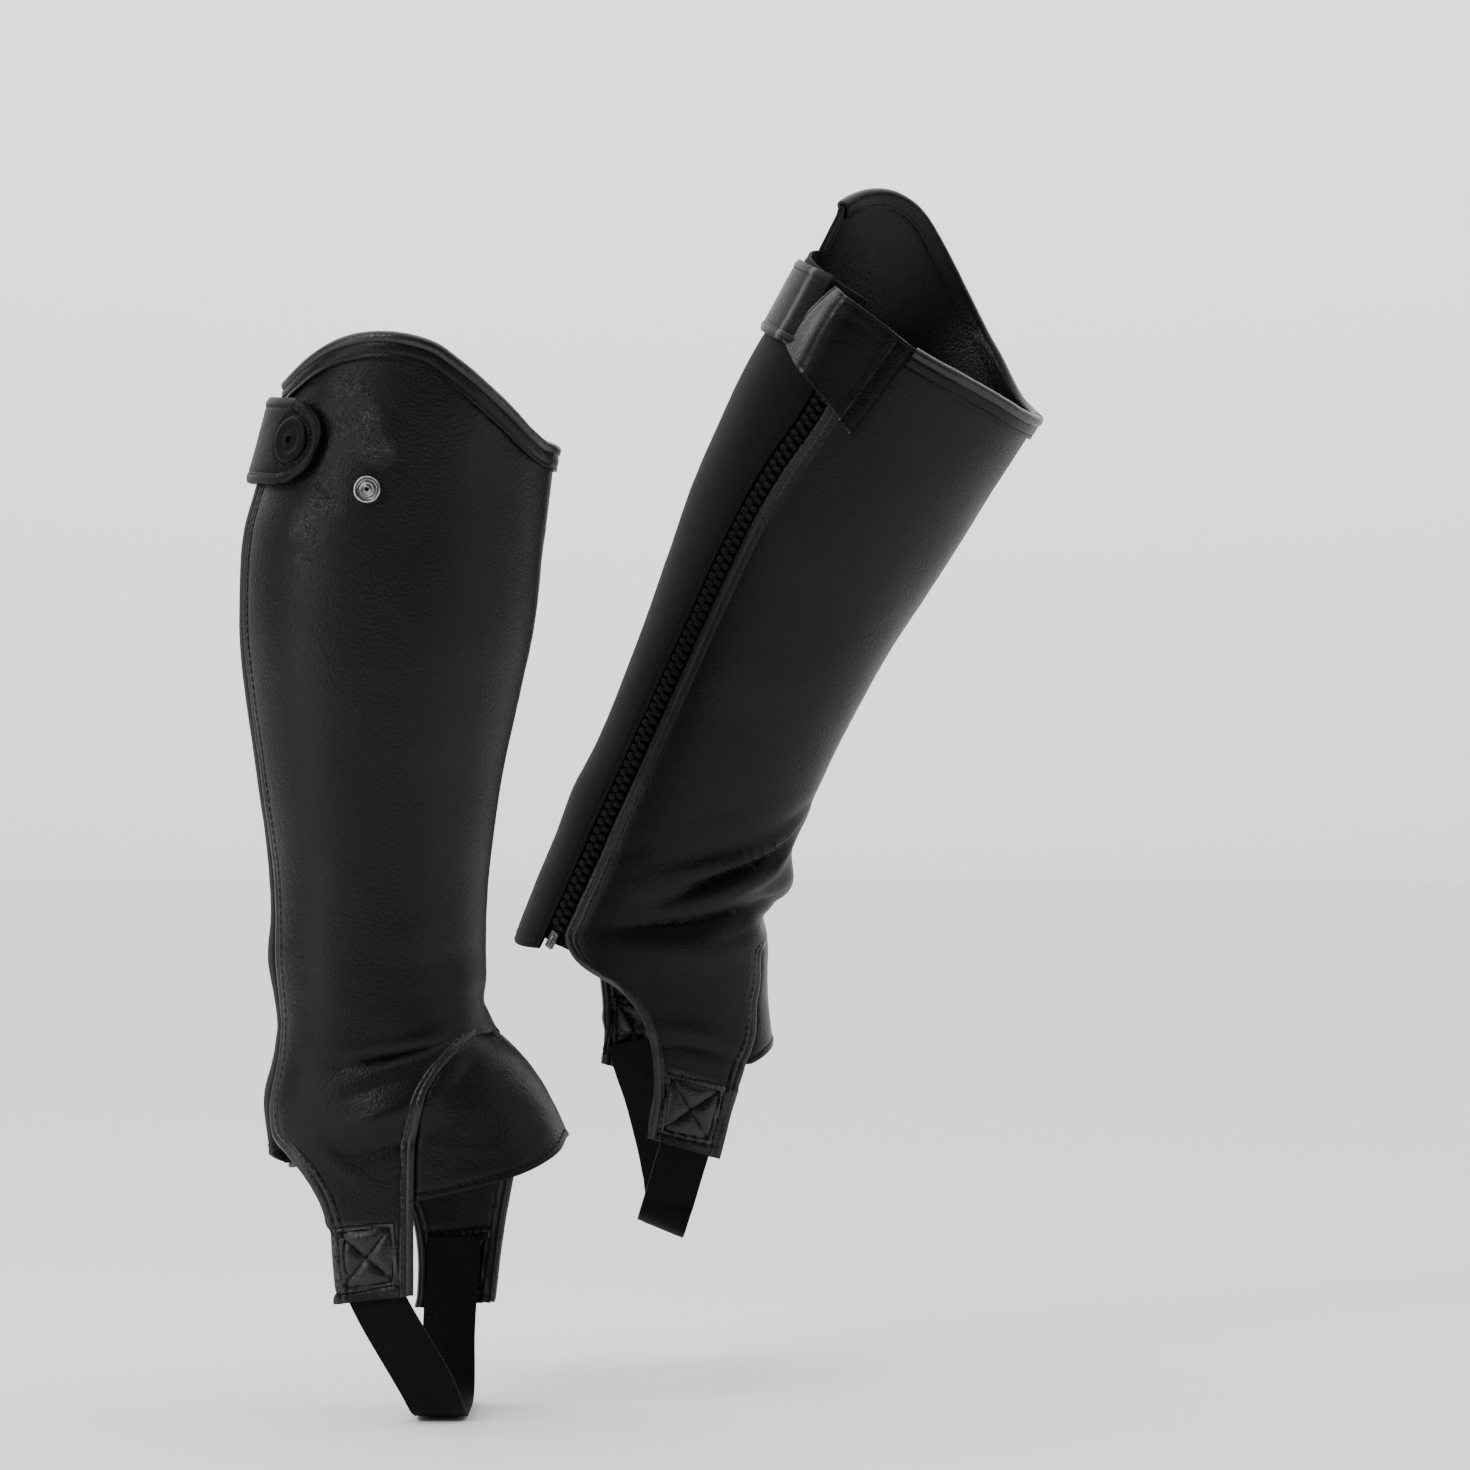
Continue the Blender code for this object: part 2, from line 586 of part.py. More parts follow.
def add_zip(chap, leather_rows, tape_finish, chain_finish, metal_finish, collection):
    """Tape between the leather and the stretch panel, the closed chain on it, its slider and bottom retainer."""
    rows_down = 16
    calf, _, inner = leather_rows
    seam = [row[-1] for row in calf + inner[1:]]
    tape, chain = [], []
    for j in range(rows_down + 1):
        height = mix(*ZIP_TAPE_ENDS, j / rows_down)
        front = chap.step_round(max(turn_on(seam, height), inner_edge(chap, height)), height, SEAM_GAP)
        back = chap.zip_turn(height, SEAM_GAP - ZIP_SLOT / 2)
        tape.append([(mix(front, back, part), height) for part in (0, 0.5, 1)])
        height = mix(*ZIP_CHAIN_ENDS, j / rows_down)
        half = ZIP_CHAIN_WIDTH / 2
        chain.append([(chap.zip_turn(height, across), height) for across in (-half, 0, half)])
    add_wall(chap, "zip_tape", [lay(chap, tape)], TAPE, tape_finish, collection)
    chain_base = TAPE + LAY_GAP
    add_wall(chap, "zip_chain", [lay(chap, chain, chain_base)], ZIP_CHAIN_RISE, chain_finish, collection)
    add_block(chap, "zip_slider", ZIP_SLIDER_HEIGHT, ZIP_SLIDER_SIZE, metal_finish, collection)
    add_block(chap, "zip_retainer", ZIP_RETAINER_HEIGHT, ZIP_RETAINER_SIZE, metal_finish, collection)


def add_block(chap, name, height, size, finish, collection):
    """A small hard piece of the zip: width, length along the zip and rise, with rounded edges."""
    width, length, rise = size
    turn = chap.zip_turn(height)
    normal = chap.normal(turn, height)
    down_zip = (chap.point(chap.zip_turn(height - 5), height - 5) - chap.point(turn, height)).normalized()
    across = down_zip.cross(normal).normalized()
    down_zip = normal.cross(across)
    centre = chap.point(turn, height, TAPE + LAY_GAP + ZIP_METAL_LIFT + rise / 2)
    build = bmesh.new()
    bmesh.ops.create_cube(build, size=1.0, matrix=Matrix.Diagonal((width * MM, length * MM, rise * MM, 1)))
    mesh = bpy.data.meshes.new(name)
    build.to_mesh(mesh)
    build.free()
    made = add_object(chap, name, mesh, finish, collection)
    made.matrix_local = Matrix.Translation(centre * MM) @ Matrix((across, down_zip, normal)).transposed().to_4x4()
    edges = made.modifiers.new("edges", "BEVEL")
    edges.width = METAL_EDGE * MM
    edges.segments = 1
    return made


def add_flap(chap, finish, collection):
    """The leather square sewn down along its front edge and standing off over the zip's top."""
    steps = 8
    front_top, rear_top, rear_bottom, front_bottom = FLAP_CORNERS
    base = LEATHER + LAY_GAP
    rows = []
    for j in range(steps + 1):
        down = j / steps
        row = []
        for i in range(steps + 1):
            back = i / steps
            x = mix(mix(front_top[0], front_bottom[0], down), mix(rear_top[0], rear_bottom[0], down), back)
            height = mix(mix(front_top[1], front_bottom[1], down), mix(rear_top[1], rear_bottom[1], down), back)
            risen = min(1.0, max(0.0, (back - FLAP_SEWN) / FLAP_RISE))
            lift = FLAP_PUFF * risen * risen * (3 - 2 * risen)
            row.append((chap.turn_at(x, height, 1), height, base + lift))
        rows.append(row)
    return add_wall(chap, "strap_flap", [lay(chap, rows)], FLAP_WALL, finish, collection)


def strap_line(chap):
    """The closing strap's middle line as (turn, height), from under the flap round the back."""
    start = chap.turn_at(*STRAP_START, 1)
    end = 360 + chap.turn_at(*STRAP_END, -1)
    return (start, STRAP_START[1]), (180.0, STRAP_BACK_HEIGHT), (end, STRAP_END[1])


def strap_base(turn):
    """How far off the leg the strap lies: down on the stretch panel at the back, clear of the binding at its ends."""
    ends = LEATHER + BINDING_WALL + LAY_GAP * 2 + STRAP_STANDOFF
    away = min(1.0, max(STRAP_BACK[0] - turn, turn - STRAP_BACK[1], 0.0) / STRAP_RISE_DEG)
    return mix(STRETCH + LAY_GAP, ends, away * away * (3 - 2 * away))


def add_closing_strap(chap, finish, collection):
    columns, across_steps, round_steps = 13, 4, 5
    start, back, end = strap_line(chap)
    middle = evenly_along((start, back, end), columns)
    half = STRAP_WIDTH / 2
    stations = [(turn, height, half) for turn, height in middle]
    for k in range(1, round_steps + 1):
        angle = math.radians(STRAP_ROUND_DEG) * k / round_steps
        turn = chap.step_round(end[0] - 360, end[1], half * math.sin(angle)) + 360
        stations.append((turn, end[1], half * math.cos(angle)))
    rows = []
    for turn, height, reach in stations:
        row = []
        for i in range(across_steps + 1):
            level = height + reach * (1 - 2 * i / across_steps)
            row.append((turn, level, strap_base(turn)))
        rows.append(row)
    add_wall(chap, "closing_strap", [lay(chap, rows)], STRAP_WALL, finish, collection)
    return strap_base(end[0]) + STRAP_WALL


def add_turned(chap, name, profile, spot, side, off, finish, collection):
    """A round piece turned about the outward direction at a spot (x, height) of the leg."""
    x, height = spot
    turn = chap.turn_at(x, height, side)
    normal = chap.normal(turn, height)
    build = bmesh.new()
    verts = [build.verts.new((radius * MM, 0, level * MM)) for radius, level in profile]
    for a, b in zip(verts, verts[1:]):
        build.edges.new((a, b))
    mesh = bpy.data.meshes.new(name)
    build.to_mesh(mesh)
    build.free()
    made = add_object(chap, name, mesh, finish, collection)
    place = Matrix.Translation(chap.point(turn, height, off) * MM)
    made.matrix_local = place @ Vector((0, 0, 1)).rotation_difference(normal).to_matrix().to_4x4()
    screw = made.modifiers.new("turned", "SCREW")
    screw.steps = screw.render_steps = TURNED_SEGMENTS
    screw.use_merge_vertices = True
    screw.merge_threshold = 0.00001
    return made


def rings_profile(radius, height, groove):
    """A disc's half outline from its top's middle outwards and down, with a plain ring sunk in its face."""
    return (
        (0, height), (radius * 0.4, height), (radius * 0.5, height - groove), (radius * 0.65, height - groove),
        (radius * 0.75, height), (radius, height * 0.5), (radius, 0), (0, 0),
    )


def sole_strap_y(chap, x, height, side):
    """How far out the sole strap lies where it hugs the foot, just inside the tab."""
    level = max(height, SOLE_STRAP_HUG_END)
    return chap.point(chap.turn_at(x, level, side), level, -SOLE_STRAP_WALL - LAY_GAP).y


def add_sole_strap(chap, finish, collection):
    steps, across_steps = 30, 3
    table, length = [], 0.0
    previous = None
    for across, height, x in SOLE_STRAP_ROUTE:
        here = Vector((x + read(chap.strap_hang, height, 1), across * chap.inner_y, height))
        if height > SOLE_STRAP_CORNER:
            here.y = sole_strap_y(chap, here.x, height, math.copysign(1, across))
        if previous is not None:
            length += (here - previous).length
        table.append((length, *here))
        previous = here
    path = [Vector([read(table, length * k / steps, c) for c in (1, 2, 3)]) for k in range(steps + 1)]
    middle_x, middle_height = SOLE_STRAP_MIDDLE
    hub = Vector((middle_x + read(chap.strap_hang, middle_height, 1), 0, middle_height))
    rows = []
    for k, here in enumerate(path):
        along = (path[min(k + 1, steps)] - path[max(k - 1, 0)]).normalized()
        side = math.copysign(1, here.y) * chap.inner_y
        lifted = min(1.0, max(0.0, (here.z - SOLE_STRAP_SOLE) / SOLE_STRAP_SLANT_FADE))
        slant = math.radians(SOLE_STRAP_SLANT) * lifted * (side < 0)
        wide = Vector((math.cos(slant), 0, math.sin(slant)))
        wide = (wide - along * wide.dot(along)).normalized()
        row = [here + wide * SOLE_STRAP_WIDTH * (t / across_steps - 0.5) for t in range(across_steps + 1)]
        if here.z > SOLE_STRAP_CORNER:
            for spot in row:
                spot.y = sole_strap_y(chap, spot.x, spot.z, side)
        rows.append(row)
    return add_wall(chap, "sole_strap", [rows], SOLE_STRAP_WALL, finish, collection, lambda p: p - hub)


# ---------------------------------------------------------------- the pair

def add_chap(chap, finishes, collection):
    leather, trim, stretch, elastic, tape, teeth, metal = finishes
    rows = panel_rows(chap)
    add_leather_panel(chap, rows, leather, collection)
    add_stretch_panel(chap, rows, stretch, collection)
    add_gusset(chap, rows, leather, collection)
    add_binding(chap, trim, collection)
    add_zip(chap, rows, tape, teeth, metal, collection)
    add_flap(chap, trim, collection)
    strap_face = add_closing_strap(chap, trim, collection)
    cap = rings_profile(SNAP_CAP_RADIUS, SNAP_CAP_HEIGHT, SNAP_CAP_GROOVE)
    add_turned(chap, "snap_cap", cap, SNAP_SPOT, -1, strap_face + LAY_GAP, trim, collection)
    stud = rings_profile(STUD_RADIUS, STUD_HEIGHT, STUD_GROOVE)
    add_turned(chap, "panel_stud", stud, STUD_SPOT, -1, LEATHER + LAY_GAP, metal, collection)
    add_sole_strap(chap, elastic, collection)


def add_stance(name, place, lean, roll, collection):
    """The empty that holds one chap's frame: lean tips its top forward, roll tips it towards -Y."""
    made = bpy.data.objects.new(name, None)
    made.location = place
    made.rotation_euler = (math.radians(roll), math.radians(lean), 0)
    collection.objects.link(made)
    return made


def main():
    clear_scene()
    collection = bpy.data.collections.new("half_chaps")
    bpy.context.scene.collection.children.link(collection)
    finishes = (
        material("black_leather", (0.022, 0.021, 0.022), 0.42),
        material("black_leather_trim", (0.018, 0.017, 0.018), 0.38),
        material("black_stretch", (0.016, 0.016, 0.018), 0.6),
        material("black_elastic", (0.012, 0.012, 0.012), 0.85),
        material("black_zip_tape", (0.012, 0.012, 0.013), 0.8),
        material("black_zip_teeth", (0.02, 0.02, 0.022), 0.35),
        material("dark_nickel", (0.55, 0.55, 0.56), 0.28, 1.0),
    )
    right = Chap("right", 1, RIGHT_LEG, RIGHT_FOLDS, (RIGHT_OUTER_TOP, RIGHT_INNER_TOP), RIGHT_STRETCH,
                 RIGHT_GUSSET_EDGE, RIGHT_GUSSET_TOP, 0.0, RIGHT_STRAP_HANG)
    left = Chap("left", -1, LEFT_LEG, LEFT_FOLDS, (LEFT_OUTER_TOP, LEFT_INNER_TOP), LEFT_STRETCH,
                LEFT_GUSSET_EDGE, LEFT_GUSSET_TOP, LEFT_TAB_SWING, LEFT_STRAP_HANG)
    right.stance = add_stance("right_stance", (0, 0, 0), 0, 0, collection)
    left.stance = add_stance("left_stance", LEFT_PLACE, LEFT_LEAN_DEG, LEFT_ROLL_DEG, collection)
    for chap in (right, left):
        add_chap(chap, finishes, collection)


main()
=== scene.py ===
"""The looks of a pair of black leather half chaps, in the hollow form they keep when worn.

Frame: metres, +Z up, +X the way the toes point, +Y from the right leg to the left leg. Each chap is laid out
on the surface of a plain leg, in the chap's own frame and in millimetres:
    x       forward from the middle of the top opening
    height  up from the origin, 6 mm below the right chap's top edge at the shin
    turn    degrees round the leg from the shin: minus on the outer side, plus on the inner, 180 at the back
Every sheet is a grid of such spots, with rows that run round the leg or across the piece.
"""
import math

import bmesh
import bpy
import numpy as np
from mathutils import Matrix, Vector, noise


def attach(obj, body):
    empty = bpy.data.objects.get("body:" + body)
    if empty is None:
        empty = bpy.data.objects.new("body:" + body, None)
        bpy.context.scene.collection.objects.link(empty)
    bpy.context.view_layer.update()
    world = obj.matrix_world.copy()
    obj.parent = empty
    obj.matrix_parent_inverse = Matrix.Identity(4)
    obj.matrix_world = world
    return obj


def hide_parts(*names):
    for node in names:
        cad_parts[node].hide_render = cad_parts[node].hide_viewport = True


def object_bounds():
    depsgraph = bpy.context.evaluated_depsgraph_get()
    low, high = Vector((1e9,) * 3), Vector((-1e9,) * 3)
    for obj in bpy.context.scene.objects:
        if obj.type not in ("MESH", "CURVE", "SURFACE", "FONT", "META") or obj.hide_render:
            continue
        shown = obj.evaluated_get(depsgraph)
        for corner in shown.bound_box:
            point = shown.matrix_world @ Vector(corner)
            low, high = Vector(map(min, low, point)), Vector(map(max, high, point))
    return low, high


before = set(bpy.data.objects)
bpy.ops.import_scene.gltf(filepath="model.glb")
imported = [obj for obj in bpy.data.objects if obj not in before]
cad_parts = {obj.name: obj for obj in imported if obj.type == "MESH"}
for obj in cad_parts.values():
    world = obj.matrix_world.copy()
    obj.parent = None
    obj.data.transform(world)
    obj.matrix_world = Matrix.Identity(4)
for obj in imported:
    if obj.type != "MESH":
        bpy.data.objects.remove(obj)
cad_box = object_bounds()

MM = 0.001

# Cloth walls, and the room between pieces
LEATHER = 2.0
STRETCH = 1.6
TAPE = 1.0
GUSSET_WALL = 1.6
BINDING_WALL = 1.4
FLAP_WALL = 1.8
STRAP_WALL = 2.4
SOLE_STRAP_WALL = 1.6
SEAM_GAP = 0.35
LAY_GAP = 0.4
TUCK = 5.0                      # how far one piece runs under the next at a seam
TUCK_DEPTH = 1.95               # how far it dips there

# The leg under each chap, from its outline: height, rear, front, half width, bluntness of the section
RIGHT_LEG = (
    (70, -42, 68, 56, 2), (30, -50, 63, 56, 2), (8, -55.5, 59.5, 56, 2), (-10, -60.5, 57, 56, 2),
    (-33, -66.5, 54.5, 56, 2), (-66, -68, 50.5, 55.5, 2), (-99, -65, 43.5, 53, 2),
    (-132, -60.5, 36.8, 49, 2), (-165, -56, 32.3, 45, 2), (-190, -54.3, 30.2, 42.5, 2.05),
    (-215, -53.5, 30.8, 41.5, 2.1), (-234, -53, 34.3, 41, 2.2), (-246, -53, 45.5, 41, 2.3),
    (-257, -53.5, 53.5, 41, 2.35), (-269, -54, 60.5, 41, 2.4), (-282, -55, 66.5, 41, 2.45),
    (-305, -56, 78, 41, 2.5), (-350, -57, 100, 40.5, 2.5),
)
LEFT_LEG = (
    (90, -54, 74, 56, 2), (30, -58.5, 63, 56, 2), (0, -61.5, 58.5, 56, 2), (-24, -65, 54.5, 56, 2),
    (-54, -67, 49.5, 55.5, 2), (-86, -67, 43.7, 54, 2), (-117, -65.5, 38, 50.5, 2),
    (-147, -63.7, 34.5, 47, 2), (-180, -62.8, 32, 44, 2), (-210, -63, 31, 42, 2.1),
    (-234, -63.5, 32, 41, 2.2), (-250, -64, 34.5, 41, 2.3), (-266, -64.5, 40.5, 41, 2.35),
    (-280, -64.5, 46.3, 41, 2.4), (-296, -64, 54.3, 41, 2.45), (-320, -62, 69, 41, 2.5),
    (-355, -58, 91, 40.5, 2.5),
)
EGG = 0.08                      # how much narrower a section is at the shin than at the back

# Top edge on each side: x, height
RIGHT_OUTER_TOP = (
    (-60, 22), (-49, 31), (-41, 39.3), (-32, 45.5), (-21, 48.7), (-11, 49.3), (-1, 48), (10, 44.6),
    (19, 38.8), (27, 33), (36, 25.7), (44, 19.1), (51, 12.5), (57, 7.9), (64, 6),
)
LEFT_OUTER_TOP = (
    (-72, 26), (-62, 37), (-58, 50), (-53, 60), (-45, 66), (-35, 67), (-24, 63), (-10, 53), (5, 41),
    (20, 29), (35, 18), (48, 8), (58, 3), (70, 1),
)
RIGHT_INNER_TOP = (
    (-75, 26), (-52, 24), (-36, 21), (-16, 14.5), (0, 10.5), (22, 9), (41, 8.8), (54, 7.6), (64, 6),
)
LEFT_INNER_TOP = (
    (-75, 26), (-52, 24), (-36, 21), (-16, 14.5), (0, 10.5), (22, 7.5), (41, 5), (54, 2.5), (70, 1),
)
TOP_STATION = 20.0              # height whose outline gives the top edge its x

# Folds: turn, height, reach round the leg in degrees, half breadth, depth, fall in mm for each degree, and
# bend in mm at the end of the reach. The first rows are the large folds of the solids.
RIGHT_FOLDS = (
    (180, -205, 32, 13, 2.4, 0, 0),
    (180, -232, 40, 9, -1, 0, 0),
    (180, -264, 34, 15, 4.2, 0, 0),
    (-92, -244, 24, 5.5, -2.4, 0.25, 0),
    (-100, -263, 24, 9, 2.6, 0.1, 0),
    (78, -240, 26, 6, -2.2, -0.2, 0),
    (90, -258, 26, 9, 2.4, -0.15, 0),
    (8, -222, 40, 7, -1.2, 0, 0),
    (-86, -240, 26, 2.6, 1.5, 0.15, 1),
    (-83, -243.6, 36, 1.7, -2, 0.16, 1),
    (-94, -250, 20, 3, 0.5, 0.2, 0),
    (-102, -257, 20, 4, -1.2, 0.3, 0),
    (-102, -270, 17, 4.4, 3, 0.31, 1),
    (-100, -279, 17, 3.4, -0.8, 0.28, 0),
    (-121, -288, 9, 4, 1, -0.6, 0),
    (-104, -281, 14, 3.6, -0.8, 0.3, 0),
    (-58, -252, 12, 3.6, -1.1, 0.5, 0),
    (-120, -228, 14, 5, -0.6, -0.2, 0),
    (-40, -205, 24, 6, -0.6, 0.1, 0),
    (-22, -214, 18, 3.6, 0.6, 0.1, 0),
    (-18, -228, 22, 3.2, -0.9, 0.15, 0),
    (20, -226, 26, 3.6, -1, -0.2, 0),
    (60, -250, 14, 3.6, -1, -0.5, 0),
    (92, -246, 18, 2.8, -1.1, -0.2, 0),
    (108, -268, 18, 4.4, 1, -0.1, 0),
    (100, -278, 20, 4.4, -0.9, -0.3, 0),
    (-128, 24, 10, 9, 0.7, 0.4, 0),
    (-116, 6, 9, 8, -0.7, -0.5, 0),
    (-120, -18, 12, 8, 0.6, 0.3, 0),
    (-70, -196, 20, 8, 0.5, 0.1, 0),
)
LEFT_FOLDS = (
    (50, -226.5, 36, 6, 3.2, -0.55, 0),
    (58, -235, 30, 4.5, -3.6, -0.66, 0),
    (38, -231.5, 24, 5, 3.2, -0.62, 0),
    (62, -256.5, 46, 5, -3.2, -0.4, 0),
    (66, -270, 24, 7, 1.6, -0.3, 0),
    (0, -231.5, 26, 9, 6.4, 0, 0),
    (0, -250, 26, 6, -3.4, 0, 0),
    (-44, -224, 32, 6, 2.6, 0.5, 0),
    (-56, -238, 28, 5, -2.6, 0.55, 0),
    (-60, -252, 36, 6.5, 2.2, 0.4, 0),
    (180, -230, 34, 16, 1.8, 0, 0),
    (46, -221.5, 32, 1.9, 1.5, -0.56, 2),
    (48, -229, 28, 2.6, -1.6, -0.64, 1),
    (38, -228.5, 24, 2.2, 1.5, -0.62, 1),
    (66, -257, 40, 2, -1.5, -0.4, 0),
    (78, -259.5, 32, 1.8, 1, -0.36, 1),
    (96, -267, 20, 2.2, -0.9, -0.3, 0),
    (50, -262, 20, 2.4, -0.8, -0.35, 0),
    (112, -240, 14, 4, -0.8, -0.5, 0),
    (66, -204, 22, 5, -0.7, -0.5, 0),
    (20, -200, 20, 4, -0.8, -0.4, 0),
    (6, -240.5, 24, 2.4, -1, 0, 2),
    (62, -309, 20, 2.6, -1, -0.12, -3),
    (64, -304, 22, 3.6, 0.9, -0.12, -3),
    (-36, -230, 26, 3, -1.2, 0.5, 0),
    (-70, -244, 22, 3, -1, 0.4, 0),
    (-88, -262, 22, 4.5, -0.9, 0.2, 0),
    (-110, -276, 18, 5, 0.8, 0.2, 0),
    (-100, -206, 22, 7, -0.6, 0.3, 0),
)

# Where the leather ends on each side: x, height. The tabs reach down to the sole strap.
REAR_SEAM_INSET = 3.5           # the outer rear seam, seen from the side, in front of the back of the leg
OUTER_REAR_EDGE = ((-46, -284), (-39.5, -292), (-33, -303), (-29.4, -315), (-27.5, -330), (-27, -345))
OUTER_FRONT_EDGE = (
    (28, -235.5), (17.5, -245), (9.8, -256), (6.1, -267), (4.2, -282), (3.9, -297), (3.9, -314),
    (3.9, -341),
)
INNER_REAR_EDGE = (
    (-40.5, -290.5), (-36, -293.3), (-28, -294.8), (-18, -296.3), (-9.5, -301), (-4.2, -307),
    (0.2, -317.5), (2.4, -333), (1.2, -354),
)
INNER_FRONT_EDGE = (
    (36, -243), (40.5, -258), (43, -270), (43.6, -284), (41, -300), (38.3, -315), (36, -331),
    (33.2, -351.5),
)
FRONT_EDGE_START = -235.0       # height at which both front edges meet at the shin, as stated above
SWING_LEVEL = -285.0            # the tabs hang forward of the leaning leg from here down
REAR_LEVEL = -205.0             # where the tabs' rows start at the rear edges
OUTER_SEAM_STATIONS = (-230.0, -255.0, -276.0)          # heights at which a tab's rear edge is still the seam
INNER_SEAM_STATIONS = (-230.0, -255.0, -275.0, -285.0)
CALF_ROWS = 98
TAB_ROWS = (40, 64)             # above the zone of the sewn box, and in it
BOX_ZONE = 0.62                 # part of the way down a tab at which that zone starts

# The zip on the inner side: height, x of the chain's middle
ZIP_LINE = (
    (34, -20), (0, -26.5), (-35, -31), (-60, -36.5), (-90, -40.3), (-153, -43), (-275, -47.2),
    (-300, -48.2),
)
ZIP_TO_LEATHER = 4.4            # from the zip's middle to the leather's rolled edge, beside the teeth
ZIP_TO_STRETCH = 5.2            # from the zip's middle to the stretch panel's turned edge
ZIP_TAPE_ENDS = (12.0, -291.5)  # heights
ZIP_CHAIN_ENDS = (-2.0, -285.0)
ZIP_PITCH = 4.0                 # from tooth to tooth in one row
ZIP_TOOTH = (3.7, 2.5, 2.2)     # across the zip, along it, and its rise
ZIP_ROWS = (-1.55, 1.55)        # the middle of each row of teeth, across the zip
ZIP_SLIDER_HEIGHT = 4.0
ZIP_SLIDER_SIZE = (8.5, 11.0, 2.6)
ZIP_RETAINER_HEIGHT = -290.2
ZIP_RETAINER_SIZE = (4.2, 8.0, 2.0)
# The stretch panel's top and bottom: outer, inner, outer, inner, and how much lower its bottom is at the back
RIGHT_STRETCH = (26.0, 21.0, -281.5, -292.0, 0.0)
LEFT_STRETCH = (32.0, 21.0, -292.0, -296.5, 6.5)

# Instep gusset, lower edge: part of the way from its outer end to its inner end, height
RIGHT_GUSSET_EDGE = (
    (0, -304), (0.15, -298), (0.3, -292), (0.45, -285), (0.6, -279), (0.8, -284), (1, -300),
)
LEFT_GUSSET_EDGE = (
    (0, -320), (0.15, -314), (0.3, -308), (0.45, -303), (0.6, -300), (0.8, -303), (1, -313),
)
GUSSET_RISE = 3.5               # how far its top reaches under the calf, above the tabs' front edges
RIGHT_GUSSET_TOP = -235.0
LEFT_GUSSET_TOP = -256.0

BINDING_OUTSIDE = (9.0, 8.6, 8.2, 7.8, 7.4, 7.0, 6.6, 6.2, 5.6, 5.0, 4.4, 3.8, 3.2, 2.7, 2.2, 1.7, 1.2)
BINDING_INSIDE = (1.4, 2.2, 3.0, 4.0, 5.0, 6.0)         # how far down it reaches, row by row
BINDING_ROLL = 0.7              # rise of the roll along the top
BINDING_INNER_END = 0.0         # x on the inner side where it stops, at the flap

# Flap sewn over the zip's top, corners x, height: top front, top rear, bottom rear, bottom front
FLAP_CORNERS = ((-1.0, 9.5), (-37.0, 20.5), (-52.0, -9.5), (-12.5, -36.0))
# How far the flap stands off: part of the way back from its sewn edge, mm
FLAP_RISE = (
    (0, 0), (0.2, 0.1), (0.3, 0.7), (0.45, 3.6), (0.58, 6.3), (0.68, 8.3), (0.73, 9.2), (0.78, 8.7),
    (0.88, 6), (1, 3.6),
)
FLAP_FOLD_LEAN = 0.2            # how much further back the fold lies at the top than at the bottom

# Closing strap round the back, from under the flap to its round end on the outer side
STRAP_WIDTH = 33.0
STRAP_START = (-43.0, 7.0)
STRAP_BACK_HEIGHT = 6.5
STRAP_END = (-42.5, 4.5)        # centre of the round end
STRAP_STANDOFF = 0.5
STRAP_BACK = (153.0, 186.0)     # turns between which it lies down on the stretch panel
STRAP_RISE_DEG = 9.0            # over which it rises on either side of these
STRAP_ROUND_DEG = 86.0

SNAP_SPOT = (-40.2, 4.8)
SNAP_RING = 10.4                # radius of the ring pressed into the strap round the cap
STUD_SPOT = (-13.0, -14.7)
# Half outlines of the turned pieces: radius, height above the piece they sit on
SNAP_CAP_PROFILE = (
    (0, 1.35), (1.5, 1.32), (3, 1.2), (4, 1.02), (4.6, 0.9), (5.1, 0.95), (5.7, 1.15), (6.4, 1.28),
    (7.4, 1.3), (8.4, 1.2), (9, 1), (9.4, 0.6), (9.5, 0.1), (9.5, 0), (0, 0),
)
STUD_PROFILE = (
    (0, 1.75), (0.9, 1.7), (1.35, 1.45), (1.6, 0.95), (2.1, 0.9), (2.35, 1.4), (2.75, 1.6), (3.1, 1.4),
    (3.4, 0.8), (3.95, 0.7), (4.3, 1), (4.65, 1.9), (5, 2.2), (5.35, 2.05), (5.6, 1.5), (5.6, 0.2),
    (5.4, 0), (0, 0),
)

# Elastic strap under the sole, from one tab to the other: across the foot, height, x. Above its corners it
# hugs the foot, and the distance across comes from there.
SOLE_STRAP_WIDTH = 22.0
SOLE_STRAP_CORNER = -380.0
SOLE_STRAP_HUG_END = -350.0
SOLE_STRAP_SOLE = -390.5
SOLE_STRAP_SLANT = -31.0        # of the outer stretch, in degrees
SOLE_STRAP_SLANT_FADE = 24.5    # height above the sole over which the slant comes in
SOLE_STRAP_ROUTE = (
    (-40, -330, -15.5), (-40, -338, -12.5), (-40, -350, -6.5), (-40, -365, 2.3), (-40, -377, 9.3),
    (-37, -386, 13.8), (-30, -389.8, 15), (-15, -390.5, 15), (0, -390.5, 15), (15, -390.5, 15),
    (30, -389.8, 15), (37, -386, 15), (40, -377, 15), (40, -365, 15), (40, -350, 15.8), (40, -337, 17),
    (40, -324, 17),
)
# How far forward each chap's strap hangs: height, mm
RIGHT_STRAP_HANG = ((-320, 0), (-400, 0))
LEFT_STRAP_HANG = ((-320, 12.5), (-337, 18.5), (-352, 23.8), (-372, 26.5), (-395, 28.8))

